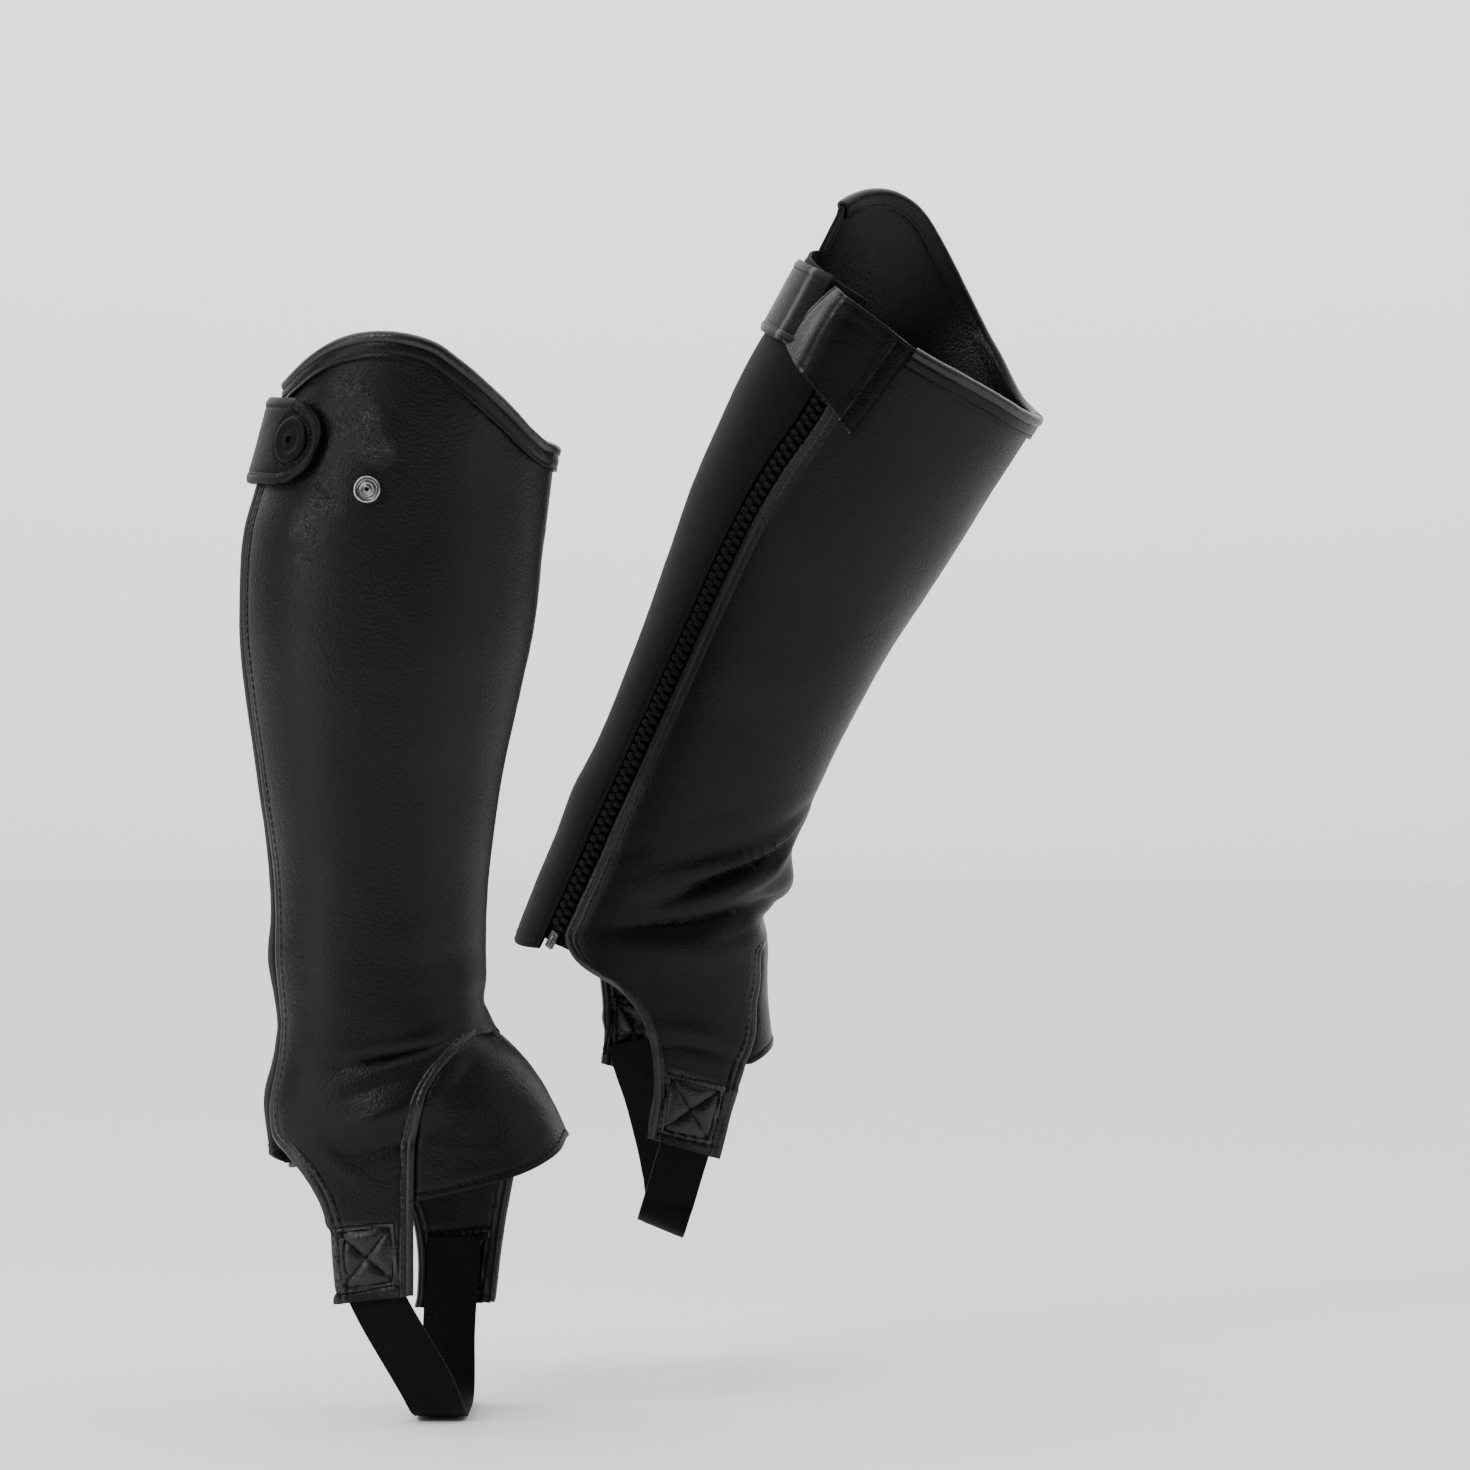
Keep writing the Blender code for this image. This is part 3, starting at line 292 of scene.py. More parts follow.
# The sewn box on each tab, corners x, height: top rear, top front, bottom front, bottom rear
RIGHT_OUTER_BOX = ((-28.4, -314), (-3.2, -311.2), (-1.2, -337), (-26.2, -341))
RIGHT_INNER_BOX = ((6.0, -323.5), (33.0, -320.5), (30.0, -346), (5.0, -349.0))
LEFT_OUTER_BOX = ((-14.5, -315), (8.0, -311.5), (12.0, -336), (-9.0, -340))
LEFT_INNER_BOX = ((20.0, -324), (45.5, -321), (49.5, -347), (26.0, -350.5))
BOX_STEP = 2.1                  # from the outer square of stitches to the inner one
BOX_PUFF = 1.5                  # how far the leather stands up between the lines, and how far in it does
BOX_PUFF_REACH = 3.4
BOX_HIGHLIGHT = 0.35               # painted highlight: how much glossier that leather is made, and the ridge between the two squares
BOX_RIDGE_HIGHLIGHT = 0.75

# Spots of fine wrinkles: middle, and how far they reach
WRINKLED_SPOTS = (
    ((-17, -56, 12), 13), ((-24, -56, 27), 10), ((-9, -57, 2), 9), ((-29, -52, -18), 12),
    ((-37, -50, -30), 11), ((-37, -48, -43), 8),
)
CREST_HIGHLIGHT_COLOUR = (0.03, 0.03, 0.034)     # painted highlight: the lighter colour of their crests
HIGHLIGHT_GAIN = 5.0                  # how many times stronger leather's shine is made along rubbed edges, partly real gloss and partly painted highlight

# Finishes of leather: darkest and lightest colour, least and most roughness, strength of the grain, and the
# shine, which is the strength of the mirror-like reflection
LEATHERS = {
    "black_leather": ((0.0036, 0.0034, 0.0036), (0.0062, 0.0057, 0.006), 0.32, 0.42, 0.5, 0.16),
    "black_leather_trim": ((0.003, 0.003, 0.0033), (0.0055, 0.0052, 0.0055), 0.29, 0.38, 0.4, 0.16),
    # Painted shade: the flap's leather is the trim's, made much darker
    "black_leather_flap_painted_shade": ((0.0012, 0.0012, 0.0014), (0.002, 0.002, 0.0023), 0.24, 0.32, 0.4, 0.1),
    # Painted shade: the strap's and snap cap's leather is the trim's, made darker and duller
    "black_leather_strap_painted_shade": ((0.002, 0.002, 0.0022), (0.004, 0.0038, 0.004), 0.36, 0.45, 0.4, 0.08),
}
# Woven cloth: scales of its threads and of its ribs, darkest and lightest colour
WOVEN = {
    "black_elastic": (3.0, 4.5, (0.003, 0.003, 0.003), (0.008, 0.008, 0.008)),
    "black_zip_tape": (6.0, 6.0, (0.003, 0.003, 0.0035), (0.008, 0.008, 0.009)),
}
# Metal: darkest and lightest colour
METALS = {
    "dark_nickel": ((0.2, 0.196, 0.19), (0.42, 0.41, 0.4)),
    # Painted shade: the zip's slider and retainer are the same nickel, made darker
    "dark_nickel_zip_painted_shade": ((0.05, 0.05, 0.05), (0.12, 0.118, 0.115)),
}

# Sewing
STITCH_LENGTH = 2.5
STITCH_PITCH = 3.3
BOX_PITCH = 2.9                 # the same in the sewn boxes
THREAD = 0.32                   # radius
GROOVE_BREADTH = 0.75
GROOVE_DEPTH = 0.75
SEAM_LINES = (2.4, 5.4)         # stitch lines beside a turned edge
FRONT_LINES = (1.9, 4.9)        # the same on the tabs' front edges
FLAP_LINES = (1.9, 9.2)
HEM_LINE = 2.4                  # on the gusset
BINDING_LINE = 1.9
BINDING_INNER_LINE = 1.5
STRAP_LINE = 3.0
# On the stretch panel: edge, its stitch line, the groove's half breadth, and where the stitches start
STRETCH_LINES = (("last", 2.2, 1.0, 0.1), ("upper", 3.6, 1.1, 0.15), ("lower", 3.6, 1.1, 0.15))
# A turned edge's beads, beside its edge and between its two lines: how far in the ridge lies, its half
# breadth and its rise
BEADS = ((1.0, 0.8, 0.5), (3.9, 0.6, 0.2))
BEAD_HIGHLIGHT = 0.4               # how much glossier a bead is made: partly a rubbed edge's gloss, partly painted highlight

# Cloth pieces: radius of the edges, flat cut's width and length, how it is held, and what it lies on
CUTS = {
    "leather_panel": (0.6, (330, 420), "stretched", ()),
    "stretch_panel": (0.5, (95, 330), "stretched", ()),
    "instep_gusset": (0.5, (150, 75), "stretched", ()),
    "top_binding": (0.45, (24, 360), "folded", ("leather_panel",)),
    "zip_tape": (0.3, (23, 300), "stretched", ()),
    "strap_flap": (0.55, (50, 46), "laid", ("leather_panel",)),
    "closing_strap": (0.8, (34, 150), "stretched", ()),
    "sole_strap": (0.5, (22, 235), "stretched", ()),
}
# All pieces: the record's material slot, and the finish
LOOKS = {
    "leather_panel": ("black_leather", "black_leather"),
    "stretch_panel": ("black_stretch", "black_stretch"),
    "instep_gusset": ("black_leather", "black_leather"),
    "top_binding": ("black_leather_trim", "black_leather_trim"),
    "zip_tape": ("black_zip_tape", "black_zip_tape"),
    "zip_chain": ("black_zip_teeth", "black_zip_teeth"),
    "zip_slider": ("dark_nickel", "dark_nickel_zip_painted_shade"),
    "zip_retainer": ("dark_nickel", "dark_nickel_zip_painted_shade"),
    "strap_flap": ("black_leather_trim", "black_leather_flap_painted_shade"),
    "closing_strap": ("black_leather_trim", "black_leather_strap_painted_shade"),
    "snap_cap": ("black_leather_trim", "black_leather_strap_painted_shade"),
    "panel_stud": ("dark_nickel", "dark_nickel"),
    "sole_strap": ("black_elastic", "black_elastic"),
    "stitching": ("black_leather_trim", "black_thread"),
}

# The world's light: the way it comes from, and from how far round to how far round it grows, dim to bright
BRIGHT_WAY = (0.0, 0.6, 0.8)
STUDIO_LEVELS = (0.1, 1.0, 0.02, 2.9)
# Lamps: name, place, size, watts, colour. All face the target.
LAMP_TARGET = (0.1, 0.08, -0.12)
LAMPS = (
    ("key", (-1.3, -1.5, 1.3), (0.6, 0.6), 26, (0.94, 0.96, 1.0)),
    ("left", (-2.0, -1.2, 0.05), (0.7, 1.7), 23, (0.84, 0.9, 1.0)),
    ("right", (2.1, -0.9, 0.1), (0.5, 1.4), 8, (1.0, 0.85, 0.78)),
)
CAMERA_PLACE = (0.13505, -2.46, -0.1136)
CAMERA_LENS = 145.9

LEFT_LEAN_DEG = 22.5
LEFT_ROLL_DEG = 6.0
LEFT_PLACE = (212.1, 152.0, 48.1)
LEFT_TAB_SWING = 0.32           # mm forward for each mm below SWING_LEVEL


# ---------------------------------------------------------------- reading tables, and the leg's surface

def smooth(rows, at, column=1):
    """Reads a table smoothly between its rows."""
    table = np.array(sorted(rows), float)
    keys, values = table[:, 0], table[:, column]
    slopes = np.gradient(values) / np.gradient(keys)
    at = np.clip(at, keys[0], keys[-1])
    low = np.clip(np.searchsorted(keys, at, side="right") - 1, 0, len(keys) - 2)
    span = keys[low + 1] - keys[low]
    t = (at - keys[low]) / span
    return ((2 * t ** 3 - 3 * t ** 2 + 1) * values[low] + (t ** 3 - 2 * t ** 2 + t) * span * slopes[low]
            + (3 * t ** 2 - 2 * t ** 3) * values[low + 1] + (t ** 3 - t ** 2) * span * slopes[low + 1])


def mix(a, b, t):
    return a + (b - a) * t


def ease(t):
    t = np.clip(t, 0, 1)
    return t * t * (3 - 2 * t)


def unit(vectors):
    return vectors / np.maximum(np.linalg.norm(vectors, axis=-1, keepdims=True), 1e-12)


def crowded(zone, fine, coarse):
    """Parts from 0 to 1, set closer within a zone at each end."""
    return np.concatenate((
        np.linspace(0, zone, fine, endpoint=False),
        np.linspace(zone, 1 - zone, coarse, endpoint=False),
        np.linspace(1 - zone, 1, fine + 1),
    ))


def lengths(line):
    """How far along a line each of its points lies."""
    return np.concatenate(([0], np.cumsum(np.linalg.norm(np.diff(line, axis=0), axis=-1))))


def read_line(at, reach, rows):
    """The rows' values at these distances along their line."""
    return np.stack([np.interp(at, reach, rows[:, k]) for k in range(3)], axis=-1)


def spread_along(line, parts):
    """Points at these parts of the way along a smooth line of (turn, height) points."""
    line = np.array(line, float)
    steps = np.hypot(np.diff(line[:, 0]) * 0.8, np.diff(line[:, 1]))
    reach = np.concatenate(([0], np.cumsum(steps)))
    at = reach[-1] * np.asarray(parts)
    return smooth(list(zip(reach, line[:, 0])), at), smooth(list(zip(reach, line[:, 1])), at)


class Chap:
    """One chap: which leg, and the tables that give its form."""

    def __init__(self, name, inner_y, finishes, leg, folds, tops, stretch, gusset_edge, gusset_top, boxes,
                 strap_hang, swing=0.0, place=(0, 0, 0), lean=0.0, roll=0.0):
        self.name = name
        self.inner_y = inner_y
        self.finishes = finishes
        self.sewing = Sewing()
        self.leg = leg
        self.folds = folds
        self.outer_top, self.inner_top = tops
        self.stretch = stretch
        self.gusset_edge = gusset_edge
        self.gusset_top = gusset_top
        self.boxes = boxes
        self.strap_hang = strap_hang
        self.swing = swing
        turned = Matrix.Rotation(math.radians(lean), 3, "Y") @ Matrix.Rotation(math.radians(roll), 3, "X")
        self.turned = np.array(turned)
        self.place = np.array(place, float)

    def world(self, points):
        """Points of the chap's frame, in the part's frame and in metres."""
        return (np.asarray(points) @ self.turned.T + self.place) * MM

    def section(self, height):
        rear, front, half_width, bluntness = (smooth(self.leg, height, column) for column in (1, 2, 3, 4))
        return (front + rear) / 2, (front - rear) / 2, half_width, bluntness

    def fold(self, turn, height):
        lift = 0.0
        for centre, level, reach, breadth, depth, fall, bend in self.folds:
            away = (turn - centre + 180) % 360 - 180
            across = (height - level - fall * away - bend * (away / reach) ** 2) / breadth
            lift = lift + depth * np.exp(-(across ** 2) - (away / reach) ** 2)
        return lift

    def bare(self, turn, height):
        middle, half_length, half_width, bluntness = self.section(height)
        cosine = np.cos(np.radians(turn))
        side = np.sign(np.sin(np.radians(turn))) * self.inner_y
        round_off = np.maximum(0.0, 1 - np.abs(cosine) ** bluntness) ** (1 / bluntness)
        lift = self.fold(turn, height)
        return np.stack((middle + (half_length + lift) * cosine,
                         side * (half_width + lift) * round_off * (1 - EGG * cosine), height), axis=-1)

    def normal(self, turn, height):
        turn, height = np.broadcast_arrays(np.asarray(turn, float), np.asarray(height, float))
        around = self.bare(turn + 0.5, height) - self.bare(turn - 0.5, height)
        up = self.bare(turn, height + 0.5) - self.bare(turn, height - 0.5)
        outward = unit(np.cross(around, up))
        middle = np.stack((self.section(height)[0], np.zeros_like(height), height), axis=-1)
        inward = np.sum(outward * (self.bare(turn, height) - middle), axis=-1, keepdims=True) < 0
        return np.where(inward, -outward, outward)

    def point(self, turn, height, off=0.0):
        turn, height = np.broadcast_arrays(np.asarray(turn, float), np.asarray(height, float))
        return self.bare(turn, height) + self.normal(turn, height) * np.asarray(off)[..., None]

    def turn_at(self, x, height, side):
        """The turn at which the surface has this x, on the inner (+1) or outer (-1) side."""
        middle, half_length, _, _ = self.section(height)
        return side * np.degrees(np.arccos(np.clip((x - middle) / half_length, -1, 1)))

    def x_at(self, turn, height):
        middle, half_length, _, _ = self.section(height)
        return middle + half_length * np.cos(np.radians(turn))

    def swung(self, x, height):
        return x + self.swing * np.maximum(0.0, SWING_LEVEL - height)

    def step_round(self, turn, height, distance):
        """The turn that lies this many mm further round towards larger turns."""
        span = np.linalg.norm(self.bare(turn + 0.5, height) - self.bare(turn - 0.5, height), axis=-1)
        return turn + distance / span

    def top(self, turn):
        x = self.x_at(turn, np.full_like(turn, TOP_STATION))
        inner = np.sin(np.radians(turn)) > 0
        return np.where(inner, smooth(self.inner_top, x), smooth(self.outer_top, x))

    def outer_edge(self, height):
        """Turn of the leather's rear edge on the outer side, at the seam to the stretch panel."""
        return self.turn_at(smooth(self.leg, height, 1) + REAR_SEAM_INSET, height, -1)

    def zip_turn(self, height, across=0.0):
        """Turn of the zip's middle, or of a line this many mm in front of it."""
        turn = self.turn_at(smooth(ZIP_LINE, height), height, 1)
        return self.step_round(turn, height, -across)

    def inner_edge(self, height):
        """Turn of the leather's rear edge on the inner side, beside the zip."""
        return self.zip_turn(height, ZIP_TO_LEATHER)


# ---------------------------------------------------------------- sheets of cloth

class Sheet:
    """A grid of points on a cloth's inner face, with the outward direction at each."""

    def __init__(self, points, normals, wall):
        self.points = points
        self.normals = normals
        self.wall = wall
        self.gloss_and_shade = np.zeros(points.shape[:2])    # 1 where the cloth is glossier: rubbed edges, partly real gloss and partly painted highlight; -1 where painted shade takes its shine

    @classmethod
    def on(cls, chap, turn, height, off, wall):
        turn, height = np.broadcast_arrays(np.asarray(turn, float), np.asarray(height, float))
        return cls(chap.point(turn, height, off), chap.normal(turn, height), wall)

    def reach(self, axis, from_end):
        """Distance of each point from the grid's first (or last) line, along rows (axis 1) or columns (0)."""
        steps = np.linalg.norm(np.diff(self.points, axis=axis), axis=-1)
        zero = np.zeros_like(np.take(steps, [0], axis=axis))
        along = np.concatenate((zero, np.cumsum(steps, axis=axis)), axis=axis)
        return np.take(along, [-1], axis=axis) - along if from_end else along

    def from_edge(self, edge):
        axis = 1 if edge in ("first", "last") else 0
        return self.reach(axis, edge in ("last", "lower"))

    def lift(self, amount):
        self.points = self.points + self.normals * np.asarray(amount)[..., None]

    # Marks painted light on the leather's shine: plus for painted highlight and rubbed-edge gloss, minus for
    # painted shade; the stronger mark stays
    def paint_gloss_and_shade(self, share):
        self.gloss_and_shade = np.where(np.abs(share) > np.abs(self.gloss_and_shade), share, self.gloss_and_shade)

    # A groove along a line, with painted shade in it of strength groove_shade where it has depth
    def groove(self, distance, at, breadth=GROOVE_BREADTH, depth=GROOVE_DEPTH, groove_shade=0.8):
        share = np.exp(-((distance - at) / breadth) ** 2)
        self.lift(-depth * share)
        self.paint_gloss_and_shade(-groove_shade * share ** 2 * (np.asarray(depth) > 0.01))

    def bead(self, distance, share=1.0, gloss_and_shade=BEAD_HIGHLIGHT):
        """The ridges along a turned edge, made glossier: partly a rubbed edge's gloss, partly painted
        highlight.
        """
        for at, breadth, rise in BEADS:
            ridge = share * np.exp(-((distance - at) / breadth) ** 2)
            self.lift(rise * ridge)
            self.paint_gloss_and_shade(gloss_and_shade * ridge)

    def inset(self, edge, distance):
        """The line on the sheet's outer face this far from an edge: points and outward directions."""
        reach = self.from_edge(edge)
        points = self.points + self.normals * self.wall
        normals = self.normals
        if edge in ("upper", "lower"):
            reach, points, normals = reach.T, points.swapaxes(0, 1), normals.swapaxes(0, 1)
        if edge in ("last", "lower"):
            reach, points, normals = reach[:, ::-1], points[:, ::-1], normals[:, ::-1]
        found = [i for i in range(len(reach)) if reach[i, -1] > distance * 1.2]
        spots = [read_line(distance, reach[i], points[i]) for i in found]
        directions = [read_line(distance, reach[i], normals[i]) for i in found]
        return np.array(spots), unit(np.array(directions))


def grid_mesh(name, grids, outward, uvs=None, gloss_and_shade=None):
    """One mesh from grids of points. Points that fall together are made one."""
    points = np.concatenate([grid.reshape(-1, 3) for grid in grids])
    faces, start = [], 0
    for grid, normals in zip(grids, outward):
        rows, columns = grid.shape[:2]
        spot = start + np.arange(rows * columns).reshape(rows, columns)
        quads = np.stack((spot[:-1, :-1], spot[1:, :-1], spot[1:, 1:], spot[:-1, 1:]), axis=-1).reshape(-1, 4)
        a, b, c = (points[quads[:, k]] for k in (0, 1, 2))
        facing = np.sum(np.cross(b - a, c - b) * normals.reshape(-1, 3)[quads[:, 0] - start])
        faces.append(quads if facing > 0 else quads[:, ::-1])
        start += rows * columns
    faces = np.concatenate(faces)
    _, kept, merged = np.unique(np.round(points, 8), axis=0, return_index=True, return_inverse=True)
    corners = merged.reshape(-1)[faces]
    mesh = bpy.data.meshes.new(name)
    mesh.from_pydata(points[kept], [], corners.tolist())
    if uvs is not None:
        layer = mesh.uv_layers.new(name="UVMap")
        flat = np.concatenate([uv.reshape(-1, 2) for uv in uvs])[faces.reshape(-1)]
        layer.data.foreach_set("uv", flat.astype(np.float32).reshape(-1))
    # The marks of painted highlight and painted shade, for the leather finishes' shine
    if gloss_and_shade is not None:
        gloss_and_shade_layer = mesh.attributes.new("gloss_and_shade", "FLOAT", "POINT")
        shares = np.concatenate([share.reshape(-1) for share in gloss_and_shade])[kept]
        gloss_and_shade_layer.data.foreach_set("value", shares.astype(np.float32))
    mesh.validate()
    mesh.shade_smooth()
    return mesh


def show(name, data):
    """A new object in the scene."""
    made = bpy.data.objects.new(name, data)
    bpy.context.scene.collection.objects.link(made)
    return made


def add_piece(chap, name, mesh):
    """Shows a mesh as a piece of the part, in place of the solid of that name. The thread stands for none."""
    slot, finish = LOOKS[name]
    made = show(f"{chap.name}_{name}", mesh)
    mesh.materials.append(chap.finishes[finish])
    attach(made, "root")
    if name != "stitching":
        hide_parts(f"{chap.name}_{name}")
    return made


def add_cloth(chap, name, sheets):
    """A cloth piece: its sheets joined, thickened outwards, with soft edges. Its UV is in centimetres."""
    edge, flat, held, rests_on = CUTS[name]
    grids = [chap.world(sheet.points) for sheet in sheets]
    outward = [sheet.normals @ chap.turned.T for sheet in sheets]
    uvs = [np.stack((sheet.reach(1, False), sheet.reach(0, False)), axis=-1) * 0.1 for sheet in sheets]
    mesh = grid_mesh(f"{chap.name}_{name}", grids, outward, uvs, [sheet.gloss_and_shade for sheet in sheets])
    made = add_piece(chap, name, mesh)
    wall = made.modifiers.new("wall", "SOLIDIFY")
    wall.thickness = sheets[0].wall * MM
    wall.offset = 1.0
    wall.use_even_offset = False
    soft = made.modifiers.new("soft_edge", "BEVEL")
    soft.width = edge * MM
    soft.segments = 3
    soft.limit_method = "ANGLE"
    soft.angle_limit = math.radians(55)


# ---------------------------------------------------------------- copies: stitches and teeth

def rounded_block(size, bevel, segments=2):
    """Corners and faces of a block with round edges, centred."""
    build = bmesh.new()
    bmesh.ops.create_cube(build, size=1.0, matrix=Matrix.Diagonal((*size, 1)))
    bmesh.ops.bevel(build, geom=build.edges[:], offset=bevel, segments=segments, profile=0.5, affect="EDGES")
    corners = np.array([v.co[:] for v in build.verts])
    build.verts.index_update()
    faces = [[v.index for v in face.verts] for face in build.faces]
    build.free()
    return corners, faces


def stitch_form():
    """One stitch along x: a short rounded thread whose ends sink into the cloth."""
    sides = 6
    rings = ((-1.0, 0.35, -0.9), (-0.8, 0.85, -0.2), (-0.35, 1.0, 0.25), (0.35, 1.0, 0.25), (0.8, 0.85, -0.2),
             (1.0, 0.35, -0.9))
    corners, faces = [], []
    for along, thick, rise in rings:
        for k in range(sides):
            angle = 2 * math.pi * k / sides
            corners.append((along * STITCH_LENGTH / 2, thick * THREAD * math.cos(angle),
                            THREAD * (rise + thick * math.sin(angle))))
    for ring in range(len(rings) - 1):
        for k in range(sides):
            a, b = ring * sides + k, ring * sides + (k + 1) % sides
            faces.append([a, a + sides, b + sides, b])
    faces.append(list(range(sides)))
    faces.append([(len(rings) - 1) * sides + k for k in reversed(range(sides))])
    return np.array(corners), faces


def copies_mesh(chap, name, form, origins, axes):
    """One mesh of many copies of a form: axes holds each copy's x, y and z directions."""
    corners, faces = form
    placed = origins[:, None, :] + np.einsum("nk,mkj->mnj", corners, axes)
    steps = np.arange(len(origins)) * len(corners)
    mesh = bpy.data.meshes.new(f"{chap.name}_{name}")
    mesh.from_pydata(chap.world(placed.reshape(-1, 3)), [],
                     [[k + step for k in face] for step in steps for face in faces])
    mesh.shade_smooth()
    return mesh


def along_line(points, normals, pitch):
    """Places at even steps along a line: origins, and x along it, z outwards."""
    reach = lengths(points)
    count = max(1, int(reach[-1] / pitch))
    at = (np.arange(count) + 0.5) * reach[-1] / count
    along = unit(read_line(at + 0.6, reach, points) - read_line(at - 0.6, reach, points))
    outward = unit(read_line(at, reach, normals))
    across = unit(np.cross(outward, along))
    axes = np.stack((along, across, unit(np.cross(along, across))), axis=1)
    return read_line(at, reach, points), axes


class Sewing:
    """Gathers a chap's stitches, to be joined in one piece."""

    def __init__(self):
        self.origins, self.axes = [], []

    def line(self, points, normals, pitch=STITCH_PITCH):
        if len(points) < 2:
            return
        origins, axes = along_line(points, normals, pitch)
        self.origins.append(origins)
        self.axes.append(axes)

    def edge(self, sheet, edge, distances, span=(0.0, 1.0)):
        for distance in distances:
            points, normals = sheet.inset(edge, distance)
            first, last = (int(round(part * len(points))) for part in span)
            self.line(points[first:last], normals[first:last])

    def add(self, chap):
        mesh = copies_mesh(chap, "stitching", stitch_form(), np.concatenate(self.origins),
                           np.concatenate(self.axes))
        add_piece(chap, "stitching", mesh)


# ---------------------------------------------------------------- finishes

class Finish:
    """A Principled material and the nodes that shade it."""

    def __init__(self, name, colour, roughness, metallic=0.0, specular=0.5, sheen=0.0):
        self.made = bpy.data.materials.new(name)
        self.made.use_nodes = True
        self.tree = self.made.node_tree
        self.shader = self.tree.nodes["Principled BSDF"]
        self.set("Base Color", (*colour, 1))
        self.set("Roughness", roughness)
        self.set("Metallic", metallic)
        self.set("Specular IOR Level", specular)
        self.set("Sheen Weight", sheen)

    def set(self, socket, value):
        self.shader.inputs[socket].default_value = value

    def node(self, kind, inputs=None, **settings):
        made = self.tree.nodes.new(kind)
        for key, value in settings.items():
            setattr(made, key, value)
        for key, value in (inputs or {}).items():
            if isinstance(value, bpy.types.NodeSocket):
                self.tree.links.new(value, made.inputs[key])
            else:
                made.inputs[key].default_value = value
        return made

    def place(self):
        """Position in metres."""
        return self.node("ShaderNodeTexCoord").outputs["Object"]

    def uv(self):
        return self.node("ShaderNodeUVMap", uv_map="UVMap").outputs["UV"]

    def noise(self, vector, scale, detail=3.0, distortion=0.0, rough=0.5, output="Fac"):
        inputs = {"Vector": vector, "Scale": scale, "Detail": detail, "Roughness": rough,
                  "Distortion": distortion}
        return self.node("ShaderNodeTexNoise", inputs).outputs[output]

    def cells(self, vector, scale, feature, smoothness=None):
        inputs = {"Vector": vector, "Scale": scale}
        if smoothness is not None:
            inputs["Smoothness"] = smoothness
        return self.node("ShaderNodeTexVoronoi", inputs, feature=feature).outputs["Distance"]

    def stripes(self, vector, scale, direction, distortion=0.0):
        return self.node("ShaderNodeTexWave", {"Vector": vector, "Scale": scale, "Distortion": distortion},
                         wave_type="BANDS", bands_direction=direction).outputs["Fac"]

    def math(self, operation, a, b):
        return self.node("ShaderNodeMath", {0: a, 1: b}, operation=operation).outputs[0]

    def vector(self, operation, a, b, output="Vector"):
        return self.node("ShaderNodeVectorMath", {0: a, 1: b}, operation=operation).outputs[output]

    def total(self, *shares):
        """The sum of values, each times its weight."""
        made = None
        for value, weight in shares:
            share = self.math("MULTIPLY", value, weight)
            made = share if made is None else self.math("ADD", made, share)
        return made

    def ramp(self, value, low, high, to_low=0.0, to_high=1.0):
        inputs = {"Value": value, "From Min": low, "From Max": high, "To Min": to_low, "To Max": to_high}
        return self.node("ShaderNodeMapRange", inputs).outputs["Result"]

    def blend(self, value, a, b):
        """From a to b, each a colour or a socket."""
        a, b = (end if isinstance(end, bpy.types.NodeSocket) else (*end, 1) for end in (a, b))
        return self.node("ShaderNodeMix", {"Factor": value, 6: a, 7: b}, data_type="RGBA").outputs[2]

    def bump(self, height, strength, distance, below=None):
        inputs = {"Height": height, "Strength": strength, "Distance": distance}
        if below is not None:
            inputs["Normal"] = below
        return self.node("ShaderNodeBump", inputs).outputs["Normal"]

    def wire(self, value, socket):
        self.tree.links.new(value, self.shader.inputs[socket])


def leather_grain(finish, place, fine, grain):
    """A fine pebble grain, with small wrinkles in patches."""
    aside = {0: finish.noise(place, 220, 2, output="Color"), "Scale": 0.0022}
    aside = finish.node("ShaderNodeVectorMath", aside, operation="SCALE").outputs[0]
    warped = finish.vector("ADD", place, aside)
    pebbles = finish.cells(warped, 820, "SMOOTH_F1", 0.35)
    wrinkles = finish.ramp(finish.cells(warped, 330, "DISTANCE_TO_EDGE"), 0.0, 0.3)
    creased = finish.ramp(finish.noise(place, 24, 2), 0.46, 0.62)
    height = finish.total((pebbles, -0.55), (finish.math("MULTIPLY", wrinkles, creased), 0.22), (fine, 0.18))
    return finish.bump(height, grain, 0.0006)


def wrinkled_spots(finish, place):
    """1 in the middle of each spot of fine wrinkles, and 0 beyond its ragged edge."""
    spots = None
    for middle, reach in WRINKLED_SPOTS:
        away = finish.vector("DISTANCE", place, tuple(k * MM for k in middle), "Value")
        spot = finish.ramp(away, reach * MM * 0.3, reach * MM, 1.0, 0.0)
        spots = spot if spots is None else finish.math("MAXIMUM", spots, spot)
    return finish.math("MULTIPLY", spots, finish.ramp(finish.noise(place, 90, 3), 0.35, 0.6))


